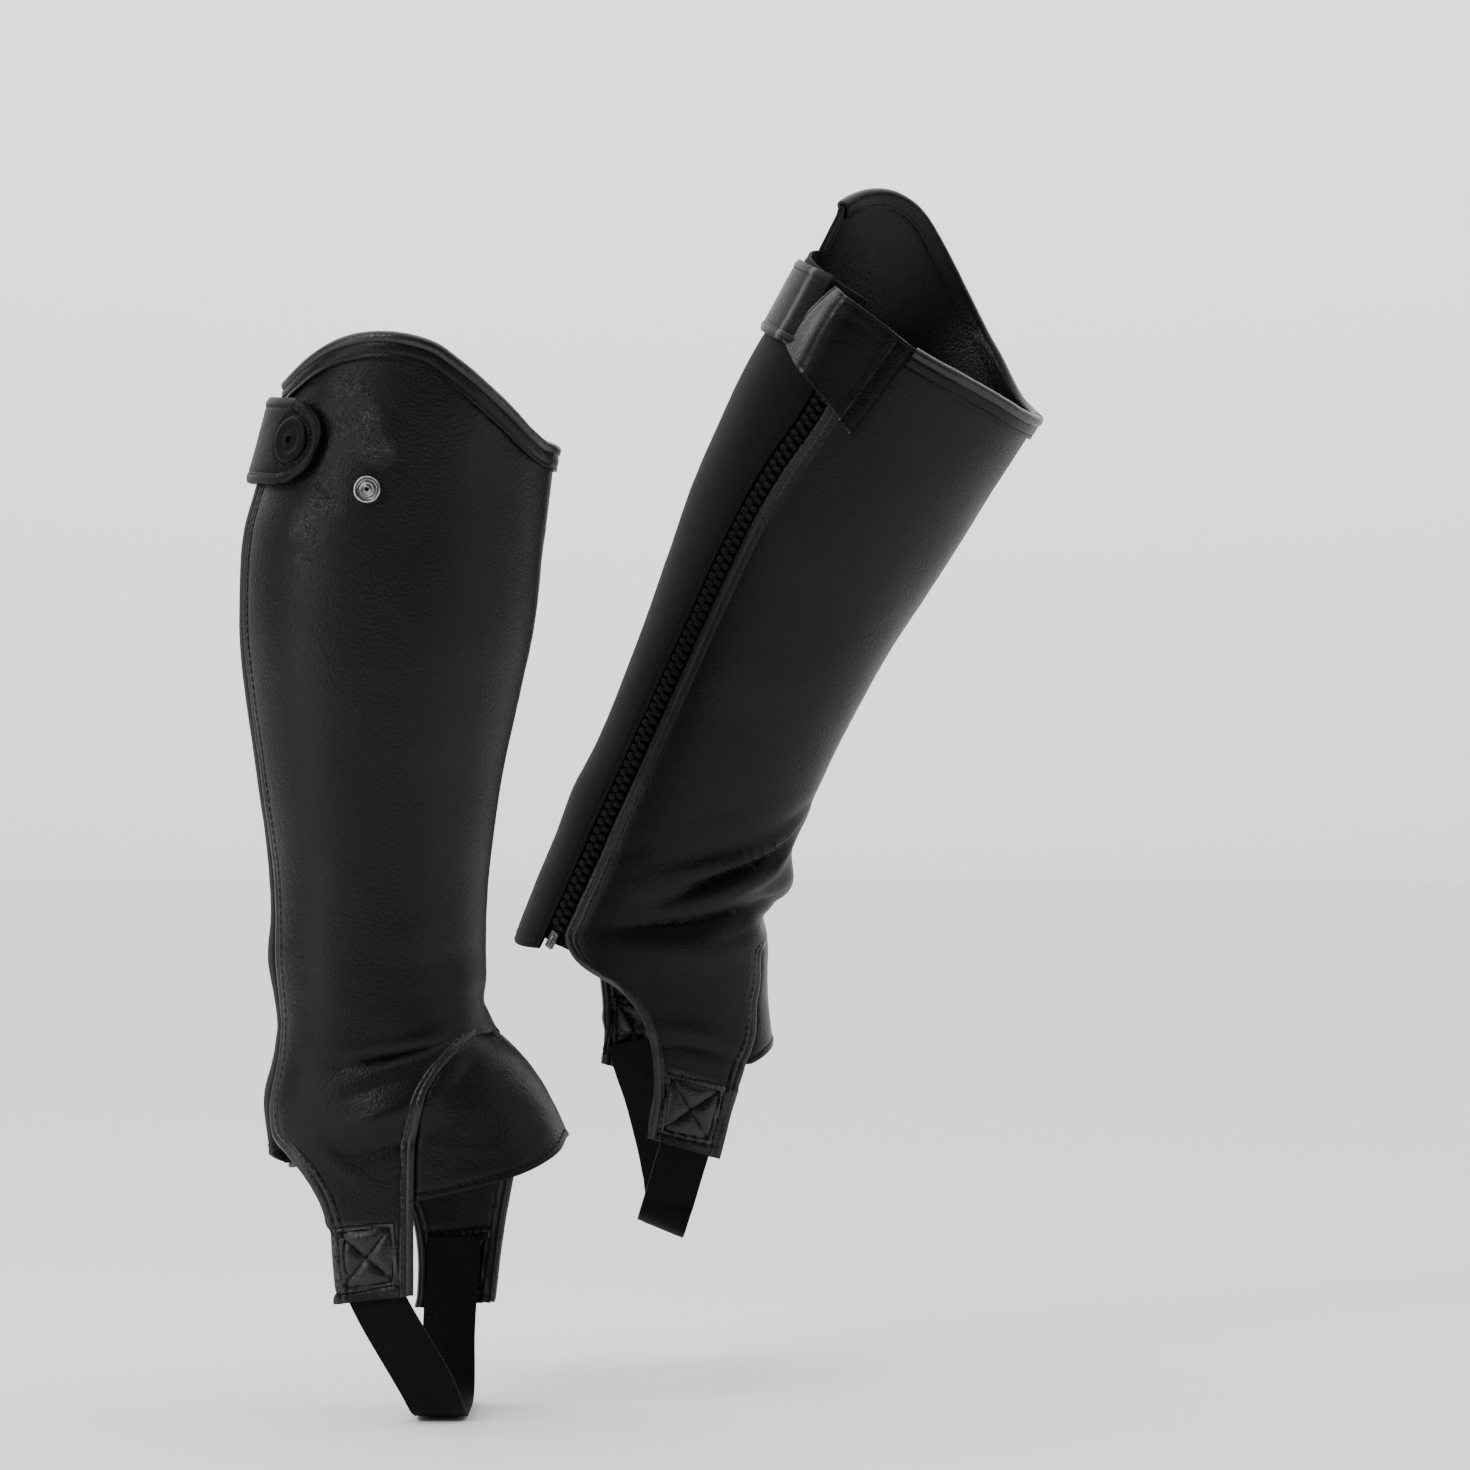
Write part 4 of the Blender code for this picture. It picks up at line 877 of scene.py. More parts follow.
def leather_finish(name, dark, light, rough_low, rough_high, grain, shine):
    """Satin leather: its grain, spots of fine wrinkles with painted highlight on their crests, and gloss that
    varies from hand to hand wide, with painted highlight on edges and ridges and painted shade in grooves.
    """
    finish = Finish(name, dark, rough_low, specular=shine)
    place = finish.place()
    patches = finish.noise(place, 16, 4, 0.6)
    fine = finish.noise(place, 2600, 2)
    grained = leather_grain(finish, place, fine, grain)
    ragged = wrinkled_spots(finish, place)
    crumpled = finish.noise(finish.vector("MULTIPLY", place, (1.0, 1.0, 1.5)), 420, 2, 2.2, 0.6)
    finish.wire(finish.bump(finish.math("MULTIPLY", ragged, crumpled), 1.0, 0.0016, grained), "Normal")
    # The wrinkles' crests are lines where the crumpled pattern passes its middle level; painted highlight
    # lightens their colour and raises their shine
    off_line = finish.math("ABSOLUTE", finish.math("SUBTRACT", crumpled, 0.52), 0.0)
    crest_highlight = finish.math("MULTIPLY", ragged, finish.ramp(off_line, 0.0, 0.05, 1.0, 0.0))
    plain = finish.blend(finish.ramp(patches, 0.3, 0.7), dark, light)
    finish.wire(finish.blend(crest_highlight, plain, CREST_HIGHLIGHT_COLOUR), "Base Color")
    rough = finish.ramp(patches, 0.3, 0.7, rough_high, rough_low)
    finish.wire(finish.math("ADD", rough, finish.math("MULTIPLY", fine, 0.08)), "Roughness")
    # Gloss: more on crests, painted highlight, and on rubbed edges, partly real gloss and partly painted
    # highlight; painted shade takes it away in grooves
    gloss_and_shade = finish.node("ShaderNodeAttribute", attribute_name="gloss_and_shade").outputs["Fac"]
    glossy = finish.ramp(gloss_and_shade, 0.0, 1.0, shine, shine * HIGHLIGHT_GAIN)
    glossy = finish.math("ADD", glossy, finish.math("MULTIPLY", crest_highlight, shine * HIGHLIGHT_GAIN * 0.8))
    unshaded = finish.ramp(gloss_and_shade, -1.0, 0.0, 0.0, 1.0)
    finish.wire(finish.math("MULTIPLY", glossy, unshaded), "Specular IOR Level")
    return finish.made


def stretch_finish():
    """Two-way stretch cloth: a fine twill of raised threads."""
    finish = Finish("black_stretch", (0.003, 0.003, 0.0035), 0.7, specular=0.08, sheen=0.02)
    uv = finish.uv()
    twill = finish.stripes(uv, 2.6, "DIAGONAL", 0.4)
    ribs = finish.stripes(uv, 3.4, "X", 0.3)
    fuzz = finish.noise(finish.place(), 1500, 2)
    finish.wire(finish.bump(finish.total((twill, 0.5), (ribs, 0.5), (fuzz, 0.4)), 0.5, 0.0004), "Normal")
    finish.wire(finish.blend(fuzz, (0.002, 0.002, 0.0023), (0.005, 0.005, 0.0056)), "Base Color")
    return finish.made


def woven_finish(name, across, along, colour, light):
    """Woven tape or elastic: ribs across it and threads along it."""
    finish = Finish(name, colour, 0.82, specular=0.1, sheen=0.02)
    uv = finish.uv()
    ribs = finish.stripes(uv, along, "Y", 0.2)
    threads = finish.stripes(uv, across, "X", 0.2)
    fuzz = finish.noise(finish.place(), 1800, 2)
    weave = finish.total((ribs, 0.7), (threads, 0.4))
    rough = finish.math("ADD", weave, finish.math("MULTIPLY", fuzz, 0.4))
    finish.wire(finish.bump(rough, 0.7, 0.0005), "Normal")
    finish.wire(finish.blend(finish.math("MULTIPLY", weave, fuzz), colour, light), "Base Color")
    return finish.made


def plastic_finish():
    finish = Finish("black_zip_teeth", (0.0025, 0.0025, 0.003), 0.5, specular=0.1)
    speckle = finish.noise(finish.place(), 900, 3)
    finish.wire(finish.ramp(speckle, 0.3, 0.7, 0.38, 0.55), "Roughness")
    finish.wire(finish.bump(speckle, 0.15, 0.0002), "Normal")
    return finish.made


def metal_finish(name, low, high):
    finish = Finish(name, high, 0.28, metallic=1.0)
    place = finish.place()
    worn = finish.noise(place, 420, 4, 0.4)
    finish.wire(finish.blend(finish.ramp(worn, 0.35, 0.65), low, high), "Base Color")
    finish.wire(finish.ramp(worn, 0.3, 0.7, 0.36, 0.2), "Roughness")
    finish.wire(finish.bump(finish.noise(place, 3000, 2), 0.12, 0.0002), "Normal")
    return finish.made


def thread_finish():
    finish = Finish("black_thread", (0.006, 0.006, 0.0065), 0.7, specular=0.16, sheen=0.02)
    twist = finish.noise(finish.place(), 5200, 2)
    finish.wire(finish.bump(twist, 0.4, 0.0002), "Normal")
    finish.wire(finish.blend(twist, (0.004, 0.004, 0.0045), (0.011, 0.011, 0.012)), "Base Color")
    return finish.made


def paper_finish(name, colour, roughness):
    finish = Finish(name, colour, roughness, specular=0.2)
    mottle = finish.noise(finish.place(), 3, 2)
    finish.wire(finish.blend(mottle, tuple(c * 0.985 for c in colour), colour), "Base Color")
    return finish.made


def make_finishes():
    """All the part's materials, by name."""
    made = {name: leather_finish(name, *facts) for name, facts in LEATHERS.items()}
    made |= {name: woven_finish(name, *facts) for name, facts in WOVEN.items()}
    made |= {name: metal_finish(name, *facts) for name, facts in METALS.items()}
    return made | {"black_stretch": stretch_finish(), "black_zip_teeth": plastic_finish(),
                   "black_thread": thread_finish()}


# ---------------------------------------------------------------- leather panel

def first_row_level(chap, turn):
    """Height of the row where the panel parts into its two tabs: lowest at the shin."""
    return REAR_LEVEL + (chap.gusset_top - REAR_LEVEL) * np.cos(np.radians(turn / 2)) ** 4


def panel_top(chap, turn):
    return chap.top(turn) - BINDING_WALL - SEAM_GAP


def calf_spots(chap, outer_parts, inner_parts, down):
    """(turn, height) of the panel above its tabs, from the outer rear seam round the shin to the zip."""
    down = np.asarray(down)[:, None]
    halves = []
    for edge, parts in ((chap.outer_edge, 1 - outer_parts), (chap.inner_edge, inner_parts)):
        height = np.zeros((len(down), len(parts)))
        for _ in range(4):
            turn = edge(height) * parts
            height = mix(panel_top(chap, turn), first_row_level(chap, turn), down)
        halves.append((turn, height))
    (turn_a, height_a), (turn_b, height_b) = halves
    return np.hstack((turn_a, turn_b[:, 1:])), np.hstack((height_a, height_b[:, 1:]))


def tab_spots(chap, side, turn, height, parts, down):
    """(turn, height) of a tab, each row from its rear edge to its front edge, under the calf's last row."""
    if side < 0:
        rear, front = OUTER_REAR_EDGE, OUTER_FRONT_EDGE
        seam = [(float(chap.outer_edge(h)), h) for h in OUTER_SEAM_STATIONS]
    else:
        rear, front = INNER_REAR_EDGE, INNER_FRONT_EDGE
        seam = [(float(chap.inner_edge(h)), h) for h in INNER_SEAM_STATIONS]

    def spot(x, h):
        return float(chap.turn_at(chap.swung(x, h), h, side)), h

    foot = front[-1][1]
    drop = FRONT_EDGE_START - chap.gusset_top
    rear_line = [(turn[0], height[0]), *seam, *[spot(x, h) for x, h in rear]]
    front_line = [(turn[-1], height[-1])]
    for x, h in front:
        front_line.append(spot(x, h - drop * (h - foot) / (FRONT_EDGE_START - foot)))
    rear_turn, rear_height = spread_along(rear_line, down)
    front_turn, front_height = spread_along(front_line, down)
    fade = (1 - down)[:, None]
    grids = []
    for first, a, b in ((turn, rear_turn, front_turn), (height, rear_height, front_height)):
        straight = mix(a[:, None], b[:, None], parts)
        grids.append(straight + (first - straight[0]) * fade)
    return grids


def segment_distance(x, z, a, b):
    """Distance from points (x, z) to the segment from a to b."""
    ax, az, bx, bz = *a, *b
    t = np.clip(((x - ax) * (bx - ax) + (z - az) * (bz - az)) / ((bx - ax) ** 2 + (bz - az) ** 2), 0, 1)
    return np.hypot(x - ax - t * (bx - ax), z - az - t * (bz - az))


def box_square(corners, step):
    """The sides of the sewn box's outline, this far in, and its corners."""
    corners = np.array(corners, float)
    middle = corners.mean(axis=0)
    inner = [corner + (middle - corner) * step * 1.45 / np.linalg.norm(middle - corner) for corner in corners]
    return [(inner[k], inner[(k + 1) % 4]) for k in range(4)], inner


def box_lines(corners):
    """The sewn box's lines: two squares and the inner one's diagonals."""
    outer_sides, _ = box_square(corners, 0.0)
    inner_sides, inner = box_square(corners, BOX_STEP)
    return outer_sides + inner_sides + [(inner[0], inner[2]), (inner[1], inner[3])]


def sew_box(chap, sheet, corners):
    """Presses the box's lines into a tab with painted shade in them, puffs the leather between them with
    painted highlight on the puffs and on the ridge between the squares, and sews them.
    """
    x, z = sheet.points[..., 0], sheet.points[..., 2]
    lines = box_lines(corners)
    nearest = np.min([segment_distance(x, z, *line) for line in lines], axis=0)
    outline = np.array(corners)
    middle = outline.mean(axis=0)
    size = np.abs(outline - middle).max()
    within = ease((size * 1.05 - np.maximum(np.abs(x - middle[0]), np.abs(z - middle[1]))) / 4)
    sheet.lift(within * BOX_PUFF * ease(nearest / BOX_PUFF_REACH))
    sheet.paint_gloss_and_shade(within * BOX_HIGHLIGHT * ease(nearest / 0.9))
    sheet.groove(nearest, 0.0, 0.7, 0.8)
    between, _ = box_square(corners, BOX_STEP / 2)
    ridge = np.exp(-(np.min([segment_distance(x, z, *line) for line in between], axis=0) / 0.5) ** 2)
    sheet.lift(0.25 * ridge)
    sheet.paint_gloss_and_shade(BOX_RIDGE_HIGHLIGHT * ridge)
    face = (sheet.points + sheet.normals * sheet.wall).reshape(-1, 3)
    normals = sheet.normals.reshape(-1, 3)
    for a, b in lines:
        spots, directions = [], []
        for t in np.linspace(0.03, 0.97, max(2, int(np.hypot(*(np.array(b) - a)) / 1.0))):
            # Each stitch lies on the face, at the mean depth of the four nearest points
            at = mix(np.array(a), np.array(b), t)
            near = np.argsort((face[:, 0] - at[0]) ** 2 + (face[:, 2] - at[1]) ** 2)[:4]
            weight = 1 / (0.05 + np.hypot(face[near, 0] - at[0], face[near, 2] - at[1]))
            spots.append((at[0], float(np.sum(face[near, 1] * weight) / np.sum(weight)), at[1]))
            directions.append(normals[near].mean(axis=0))
        chap.sewing.line(np.array(spots), unit(np.array(directions)), BOX_PITCH)


def soften(sheet, seed, size=34.0, amount=0.5, fine=0.12):
    """Slow unevenness of real cloth, and slight wrinkles."""
    offset = Vector((seed * 7.3, seed * 3.1, seed * 1.7))
    flat = sheet.points.reshape(-1, 3)
    wave = [noise.noise(Vector(p / size) + offset) * amount
            + noise.noise(Vector((p[0] / 11, p[1] / 11, p[2] / 5)) + offset) * fine for p in flat]
    sheet.lift(np.array(wave).reshape(sheet.points.shape[:2]))


def add_leather_panel(chap):
    """One sheet for the calf and one for each tab. Returns the lines that the next pieces meet."""
    parts = crowded(0.08, 17, 40)
    down = 1 - (1 - np.linspace(0, 1, CALF_ROWS)) ** 1.25
    tab_down = np.concatenate((np.linspace(0, BOX_ZONE, TAB_ROWS[0], endpoint=False),
                               np.linspace(BOX_ZONE, 1, TAB_ROWS[1])))
    turn, height = calf_spots(chap, parts, parts, down)
    last = len(parts)
    outer = tab_spots(chap, -1, turn[-1, :last], height[-1, :last], parts, tab_down)
    inner = tab_spots(chap, 1, turn[-1, last - 1:][::-1], height[-1, last - 1:][::-1], parts, tab_down)
    calf = Sheet.on(chap, turn, height, 0.0, LEATHER)
    tabs = {-1: Sheet.on(chap, *outer, 0.0, LEATHER), 1: Sheet.on(chap, *inner, 0.0, LEATHER)}
    sheets = (calf, *tabs.values())
    for sheet in sheets:
        soften(sheet, 1)
    # Turned edges: a groove under each line of stitches, on the calf and on down the tabs, with painted shade
    # in the grooves and painted highlight on the beads
    rear, zip_side = calf.from_edge("first"), calf.from_edge("last")
    for seam, gloss_and_shade in ((rear, BEAD_HIGHLIGHT), (zip_side, BEAD_HIGHLIGHT / 2)):
        calf.bead(seam, 1.0, gloss_and_shade)
        for line in SEAM_LINES:
            calf.groove(seam, line)
    for side, tab in tabs.items():
        rear, front, top = tab.from_edge("first"), tab.from_edge("last"), tab.from_edge("upper")
        come_in = ease(top / 8)
        tab.bead(rear)
        tab.bead(front, come_in)
        for line, front_line in zip(SEAM_LINES, FRONT_LINES):
            tab.groove(rear, line)
            tab.groove(front, front_line, depth=GROOVE_DEPTH * come_in)
        chap.sewing.edge(tab, "first", SEAM_LINES)
        chap.sewing.edge(tab, "last", FRONT_LINES, (0.05, 1.0))
        sew_box(chap, tab, chap.boxes[side])
    chap.sewing.edge(calf, "first", SEAM_LINES, (0.03, 1.0))
    chap.sewing.edge(calf, "last", SEAM_LINES, (0.06, 1.0))
    # Both halves of the row that the calf and the tabs share stay one line
    tabs[-1].points[0] = calf.points[-1, :last]
    tabs[1].points[0] = calf.points[-1, last - 1:][::-1]
    add_cloth(chap, "leather_panel", sheets)
    return {
        "rear": [np.concatenate((grid[:, 0], tab[1:, 0])) for grid, tab in zip((turn, height), outer)],
        "zip": [np.concatenate((grid[:, -1], tab[1:, 0])) for grid, tab in zip((turn, height), inner)],
        "outer_front": [grid[:, -1] for grid in outer],
        "inner_front": [grid[:, -1] for grid in inner],
    }


def turn_on(seam, height):
    """Turn at a height on a seam that falls."""
    turns, heights = seam
    order = np.argsort(heights)
    return np.interp(height, heights[order], turns[order])


# ---------------------------------------------------------------- the other cloth pieces

def tuck(distance, hidden):
    """How far a piece dips under its neighbour: hidden mm of it lie below, then it comes up within 4 mm."""
    return -TUCK_DEPTH * (1 - ease((distance - hidden - 0.2) / 4))


def add_stretch_panel(chap, seams):
    """Round the back, from under the leather's rear edge to the zip."""
    top_outer, top_inner, bottom_outer, bottom_inner, bow = chap.stretch
    level = np.linspace(top_outer, bottom_outer, 150)[:, None]
    part_down = (top_outer - level) / (top_outer - bottom_outer)
    parts = crowded(0.12, 10, 34)
    height = mix(level, mix(top_inner, bottom_inner, part_down), parts)
    height = height - bow * part_down * np.sin(np.pi * parts)
    seam = np.minimum(turn_on(seams["rear"], level), chap.outer_edge(level))
    a = chap.step_round(seam, level, TUCK)
    b = chap.zip_turn(height[:, -1:], -ZIP_TO_STRETCH) - 360
    sheet = Sheet.on(chap, mix(a, b, parts), height, 0.0, STRETCH)
    reach = sheet.from_edge("first")
    soften(sheet, 2, 30, 0.5, 0.1)
    for edge, line, breadth, _ in STRETCH_LINES:
        sheet.groove(sheet.from_edge(edge), line, breadth, 0.35)
    sheet.lift(tuck(reach, TUCK))
    for edge, line, _, start in STRETCH_LINES:
        chap.sewing.edge(sheet, edge, (line,), (start, 1.0))
    add_cloth(chap, "stretch_panel", [sheet])


def add_gusset(chap, seams):
    """The instep piece between the tabs, its sides under their front edges and its top under the calf."""
    parts, down = crowded(0.08, 8, 56), 1 - (1 - np.linspace(0, 1, 46)) ** 1.1
    lower = smooth(chap.gusset_edge, parts)
    height = mix(chap.gusset_top + GUSSET_RISE, lower[None, :], down[:, None])
    a = chap.step_round(turn_on(seams["outer_front"], height), height, -TUCK)
    b = chap.step_round(turn_on(seams["inner_front"], height), height, TUCK)
    top = ease((chap.gusset_top - height) / 9)
    a, b = np.minimum(a, -4.0 * (1 - top)), np.maximum(b, 4.0 * (1 - top))
    sheet = Sheet.on(chap, mix(a, b, parts), height, 0.0, GUSSET_WALL)
    soften(sheet, 3, 26, 0.7, 0.2)
    first, last, upper, hem = (sheet.from_edge(edge) for edge in ("first", "last", "upper", "lower"))
    sheet.groove(hem, HEM_LINE, 0.9, 0.4)
    sheet.lift(0.35 * np.exp(-((hem - 1.0) / 1.0) ** 2))
    # The leather sinks a little where it comes out from under the calf, with painted shade in the dip
    sheet.groove(upper, 8, 3.5, 1.4)
    sheet.lift(np.minimum(np.minimum(tuck(first, TUCK), tuck(last, TUCK)), tuck(upper, GUSSET_RISE)))
    chap.sewing.edge(sheet, "lower", (HEM_LINE,), (0.08, 0.92))
    add_cloth(chap, "instep_gusset", [sheet])


def add_binding(chap):
    """Leather rolled over the top edge: up the outside, over the top and down the inside."""
    parts = np.linspace(0, 1, 110)
    turn, height = calf_spots(chap, parts, parts, [0.0])
    turn, height = turn[0], height[0]
    x = chap.x_at(turn, np.full_like(turn, TOP_STATION))
    stops = int(np.argmax((turn > 0) & (x <= BINDING_INNER_END)))
    turn, height = turn[:stops], height[:stops]
    edge, normal = chap.point(turn, height), chap.normal(turn, height)
    down = unit(np.cross(np.gradient(edge, axis=0), normal))
    down = np.where(down[:, 2:] > 0, -down, down)
    outside, inside = LEATHER + LAY_GAP, -LAY_GAP
    middle, radius = (outside + inside) / 2, (outside - inside) / 2
    bow = [(outside, drop) for drop in BINDING_OUTSIDE]
    for angle in np.linspace(0.15, 2.99, 9):
        bow.append((middle + radius * math.cos(angle), 0.8 - radius * 0.9 * math.sin(angle)))
    bow += [(inside, drop) for drop in BINDING_INSIDE]
    points = np.array([edge + normal * off + down * drop for off, drop in bow])
    outward = unit(np.cross(np.gradient(points, axis=1), np.gradient(points, axis=0)))
    if np.sum(outward[0] * normal) < 0:
        outward = -outward
    sheet = Sheet(points, outward, BINDING_WALL)
    hem = sheet.from_edge("upper")
    sheet.groove(hem, BINDING_LINE, 0.6, 0.7)
    sheet.groove(hem, 6.4, 0.8, 0.45)
    roll = np.exp(-((hem - 8.3) / 1.3) ** 2)
    sheet.lift(BINDING_ROLL * roll)
    # Painted highlight along the roll's crest
    sheet.paint_gloss_and_shade(0.45 * roll)
    soften(sheet, 4, 24, 0.35, 0.2)
    chap.sewing.edge(sheet, "upper", (BINDING_LINE,))
    chap.sewing.edge(sheet, "lower", (BINDING_INNER_LINE,))
    add_cloth(chap, "top_binding", [sheet])


def add_flap(chap):
    """The leather square sewn down along its front edge, puffed over the zip's top, folded near its rear."""
    down, back = np.linspace(0, 1, 46)[:, None], crowded(0.1, 8, 44)[None, :]
    front_top, rear_top, rear_bottom, front_bottom = np.array(FLAP_CORNERS)
    x, height = (mix(mix(front_top[k], front_bottom[k], down), mix(rear_top[k], rear_bottom[k], down), back)
                 for k in (0, 1))
    lean = FLAP_FOLD_LEAN * (down - 0.5)
    lift = smooth(FLAP_RISE, np.clip(back + lean * ease(back / 0.5), 0, 1))
    lift = lift * (1 - 0.22 * ease((down - 0.5) / 0.5) * ease(back / 0.6)) + 0.5 * np.sin(down * 5) * back
    sheet = Sheet.on(chap, chap.turn_at(x, height, 1), height, LEATHER + LAY_GAP + lift, FLAP_WALL)
    # Painted highlight on the strip behind the fold, and along the lower edge
    sheet.paint_gloss_and_shade(0.5 * ease((back + lean - 0.62) / 0.16))
    sheet.paint_gloss_and_shade(0.7 * np.exp(-((sheet.from_edge("lower") - 0.6) / 0.7) ** 2))
    soften(sheet, 5, 20, 0.6, 0.15)
    front = sheet.from_edge("first")
    for line in FLAP_LINES:
        sheet.groove(front, line, 0.9, 0.5)
    for edge in ("upper", "lower", "last"):
        sheet.groove(sheet.from_edge(edge), 2.0, 0.8, 0.22, 0.2)
    chap.sewing.edge(sheet, "first", FLAP_LINES, (0.03, 0.97))
    add_cloth(chap, "strap_flap", [sheet])


def strap_base(turn):
    """How far off the leg the strap lies: down on the stretch panel, and clear of the binding at its ends."""
    ends = LEATHER + BINDING_WALL + LAY_GAP * 2 + STRAP_STANDOFF
    away = np.maximum(STRAP_BACK[0] - turn, turn - STRAP_BACK[1]) / STRAP_RISE_DEG
    return mix(STRETCH + LAY_GAP, ends, ease(away))


def strap_spots(chap, end):
    """(turn, height, half width) along the strap's middle line, on to the tip of its round end."""
    start = float(chap.turn_at(*STRAP_START, 1))
    route = ((start, STRAP_START[1]), (180.0, STRAP_BACK_HEIGHT), (end, STRAP_END[1]))
    turn, height = spread_along(route, 1 - (1 - np.linspace(0, 1, 131)) ** 1.6)
    half = STRAP_WIDTH / 2
    angle = np.radians(np.linspace(0, STRAP_ROUND_DEG, 20)[1:])
    level = np.full(len(angle), STRAP_END[1])
    tip = chap.step_round(np.full(len(angle), end - 360), level, half * np.sin(angle))
    reach = np.concatenate((np.full(len(turn), half), half * np.cos(angle)))
    return np.concatenate((turn, tip + 360)), np.concatenate((height, level)), reach


def sew_round_end(chap, end, base):
    """The stitch line round the strap's round end."""
    radius = STRAP_WIDTH / 2 - STRAP_LINE
    angles = np.radians(np.linspace(-90, 90, 40))
    turn = chap.step_round(np.full(40, end - 360), np.full(40, STRAP_END[1]), radius * np.cos(angles))
    levels = STRAP_END[1] + radius * np.sin(angles)
    chap.sewing.line(chap.point(turn, levels, base + STRAP_WALL - 0.35), chap.normal(turn, levels))


def add_closing_strap(chap):
    """Round the back from under the flap to the round end. Returns the height of its face off the leg."""
    end = 360 + float(chap.turn_at(*STRAP_END, -1))
    base = float(strap_base(end))
    turn, height, reach = strap_spots(chap, end)
    level = height[:, None] + reach[:, None] * (1 - 2 * crowded(0.16, 7, 30))
    sheet = Sheet.on(chap, turn[:, None], level, strap_base(turn)[:, None] + np.zeros_like(level), STRAP_WALL)
    soften(sheet, 6, 30, 0.4, 0.1)
    rim = np.minimum(sheet.from_edge("first"), sheet.from_edge("last"))
    middle = chap.point(np.array([end - 360]), np.array([STRAP_END[1]]), base)[0]
    round_end = STRAP_WIDTH / 2 - np.linalg.norm(sheet.points - middle, axis=-1)
    rim = np.where((turn > end)[:, None], np.maximum(round_end, 0), rim)
    cap = chap.point(chap.turn_at(*SNAP_SPOT, -1), SNAP_SPOT[1], base)
    from_cap = np.linalg.norm(sheet.points - cap, axis=-1)
    sheet.groove(from_cap, SNAP_RING, 0.9, 1.0)
    sheet.groove(rim, STRAP_LINE, 0.8, 0.45)
    edge = np.exp(-((rim - 1.7) / 0.9) ** 2)
    sheet.lift(0.4 * edge - 0.4 * (1 - ease(rim / 1.2)))
    # Painted highlight along the strap's raised edge
    sheet.paint_gloss_and_shade(0.25 * edge)
    for side in ("first", "last"):
        chap.sewing.edge(sheet, side, (STRAP_LINE,), (0.02, 0.86))
    sew_round_end(chap, end, base)
    add_cloth(chap, "closing_strap", [sheet])
    return base + STRAP_WALL


def hugged(chap, x, z, side):
    """y of the sole strap where it hugs the foot."""
    level = np.maximum(z, SOLE_STRAP_HUG_END)
    off = np.full(np.shape(x), -SOLE_STRAP_WALL - LAY_GAP)
    return chap.point(chap.turn_at(x, level, side), level, off)[..., 1]


def add_sole_strap(chap):
    """Elastic from one tab round under the sole to the other."""
    route = np.array(SOLE_STRAP_ROUTE, float)
    hang = smooth(chap.strap_hang, route[:, 1])
    path = np.stack((route[:, 2] + hang, route[:, 0] * chap.inner_y, route[:, 1]), axis=-1)
    side = np.sign(route[:, 0] + 1e-9)
    high = path[:, 2] > SOLE_STRAP_CORNER
    path[high, 1] = hugged(chap, path[high, 0], path[high, 2], side[high])
    reach = lengths(path)
    at = np.linspace(0, reach[-1], 151)
    path = np.stack([smooth(list(zip(reach, path[:, k])), at) for k in range(3)], axis=-1)
    along = unit(np.gradient(path, axis=0))
    outer = np.sign(path[:, 1] + 1e-9) * chap.inner_y < 0
    lifted = np.clip((path[:, 2] - SOLE_STRAP_SOLE) / SOLE_STRAP_SLANT_FADE, 0, 1)
    slant = np.radians(SOLE_STRAP_SLANT) * lifted * outer
    wide = np.stack((np.cos(slant), np.zeros_like(slant), np.sin(slant)), axis=-1)
    wide = unit(wide - along * np.sum(along * wide, axis=-1, keepdims=True))
    parts = np.linspace(-0.5, 0.5, 21)
    points = path[:, None, :] + wide[:, None, :] * (parts * SOLE_STRAP_WIDTH)[None, :, None]
    hug = path[:, 2] > SOLE_STRAP_CORNER
    sides = np.where(outer, -1, 1)[:, None] * np.ones_like(parts)
    spots = points[hug]
    points[hug, :, 1] = hugged(chap, spots[..., 0], spots[..., 2], sides[hug])
    normals = unit(np.cross(np.gradient(points, axis=1), np.gradient(points, axis=0)))
    middle = points.reshape(-1, 3).mean(axis=0) + (0, 0, 25)
    if np.sum(normals * (points - middle)) < 0:
        normals = -normals
    sheet = Sheet(points, normals, SOLE_STRAP_WALL)
    rim = np.minimum(sheet.from_edge("first"), sheet.from_edge("last"))
    sheet.groove(rim, 1.6, 0.7, 0.2)
    add_cloth(chap, "sole_strap", [sheet])


# ---------------------------------------------------------------- zip, snap and stud

def zip_frames(chap, height, across=0.0, off=0.0):
    """Origins on the zip and the directions across it, down it and outwards."""
    turn = chap.zip_turn(height, across)
    here, normal = chap.point(turn, height, off), chap.normal(turn, height)
    below = chap.point(chap.zip_turn(height - 2, across), height - 2, off)
    down = unit(below - here)
    side = unit(np.cross(down, normal))
    return here, np.stack((side, unit(np.cross(normal, side)), normal), axis=1)


def add_zip_tape(chap, seams):
    """The tape under the teeth, on under the leather and the stretch panel."""
    height = np.linspace(*ZIP_TAPE_ENDS, 150)[:, None]
    edge = np.maximum(turn_on(seams["zip"], height), chap.inner_edge(height))
    front = chap.step_round(edge, height, -TUCK)
    back = chap.zip_turn(height, -ZIP_TO_STRETCH - TUCK)
    tape = Sheet.on(chap, mix(front, back, crowded(0.24, 9, 12)), height, 0.0, TAPE)
    dip = np.minimum(tuck(tape.from_edge("first"), TUCK), tuck(tape.from_edge("last"), TUCK))
    tape.lift(dip * 0.75 - 0.1)
    add_cloth(chap, "zip_tape", [tape])


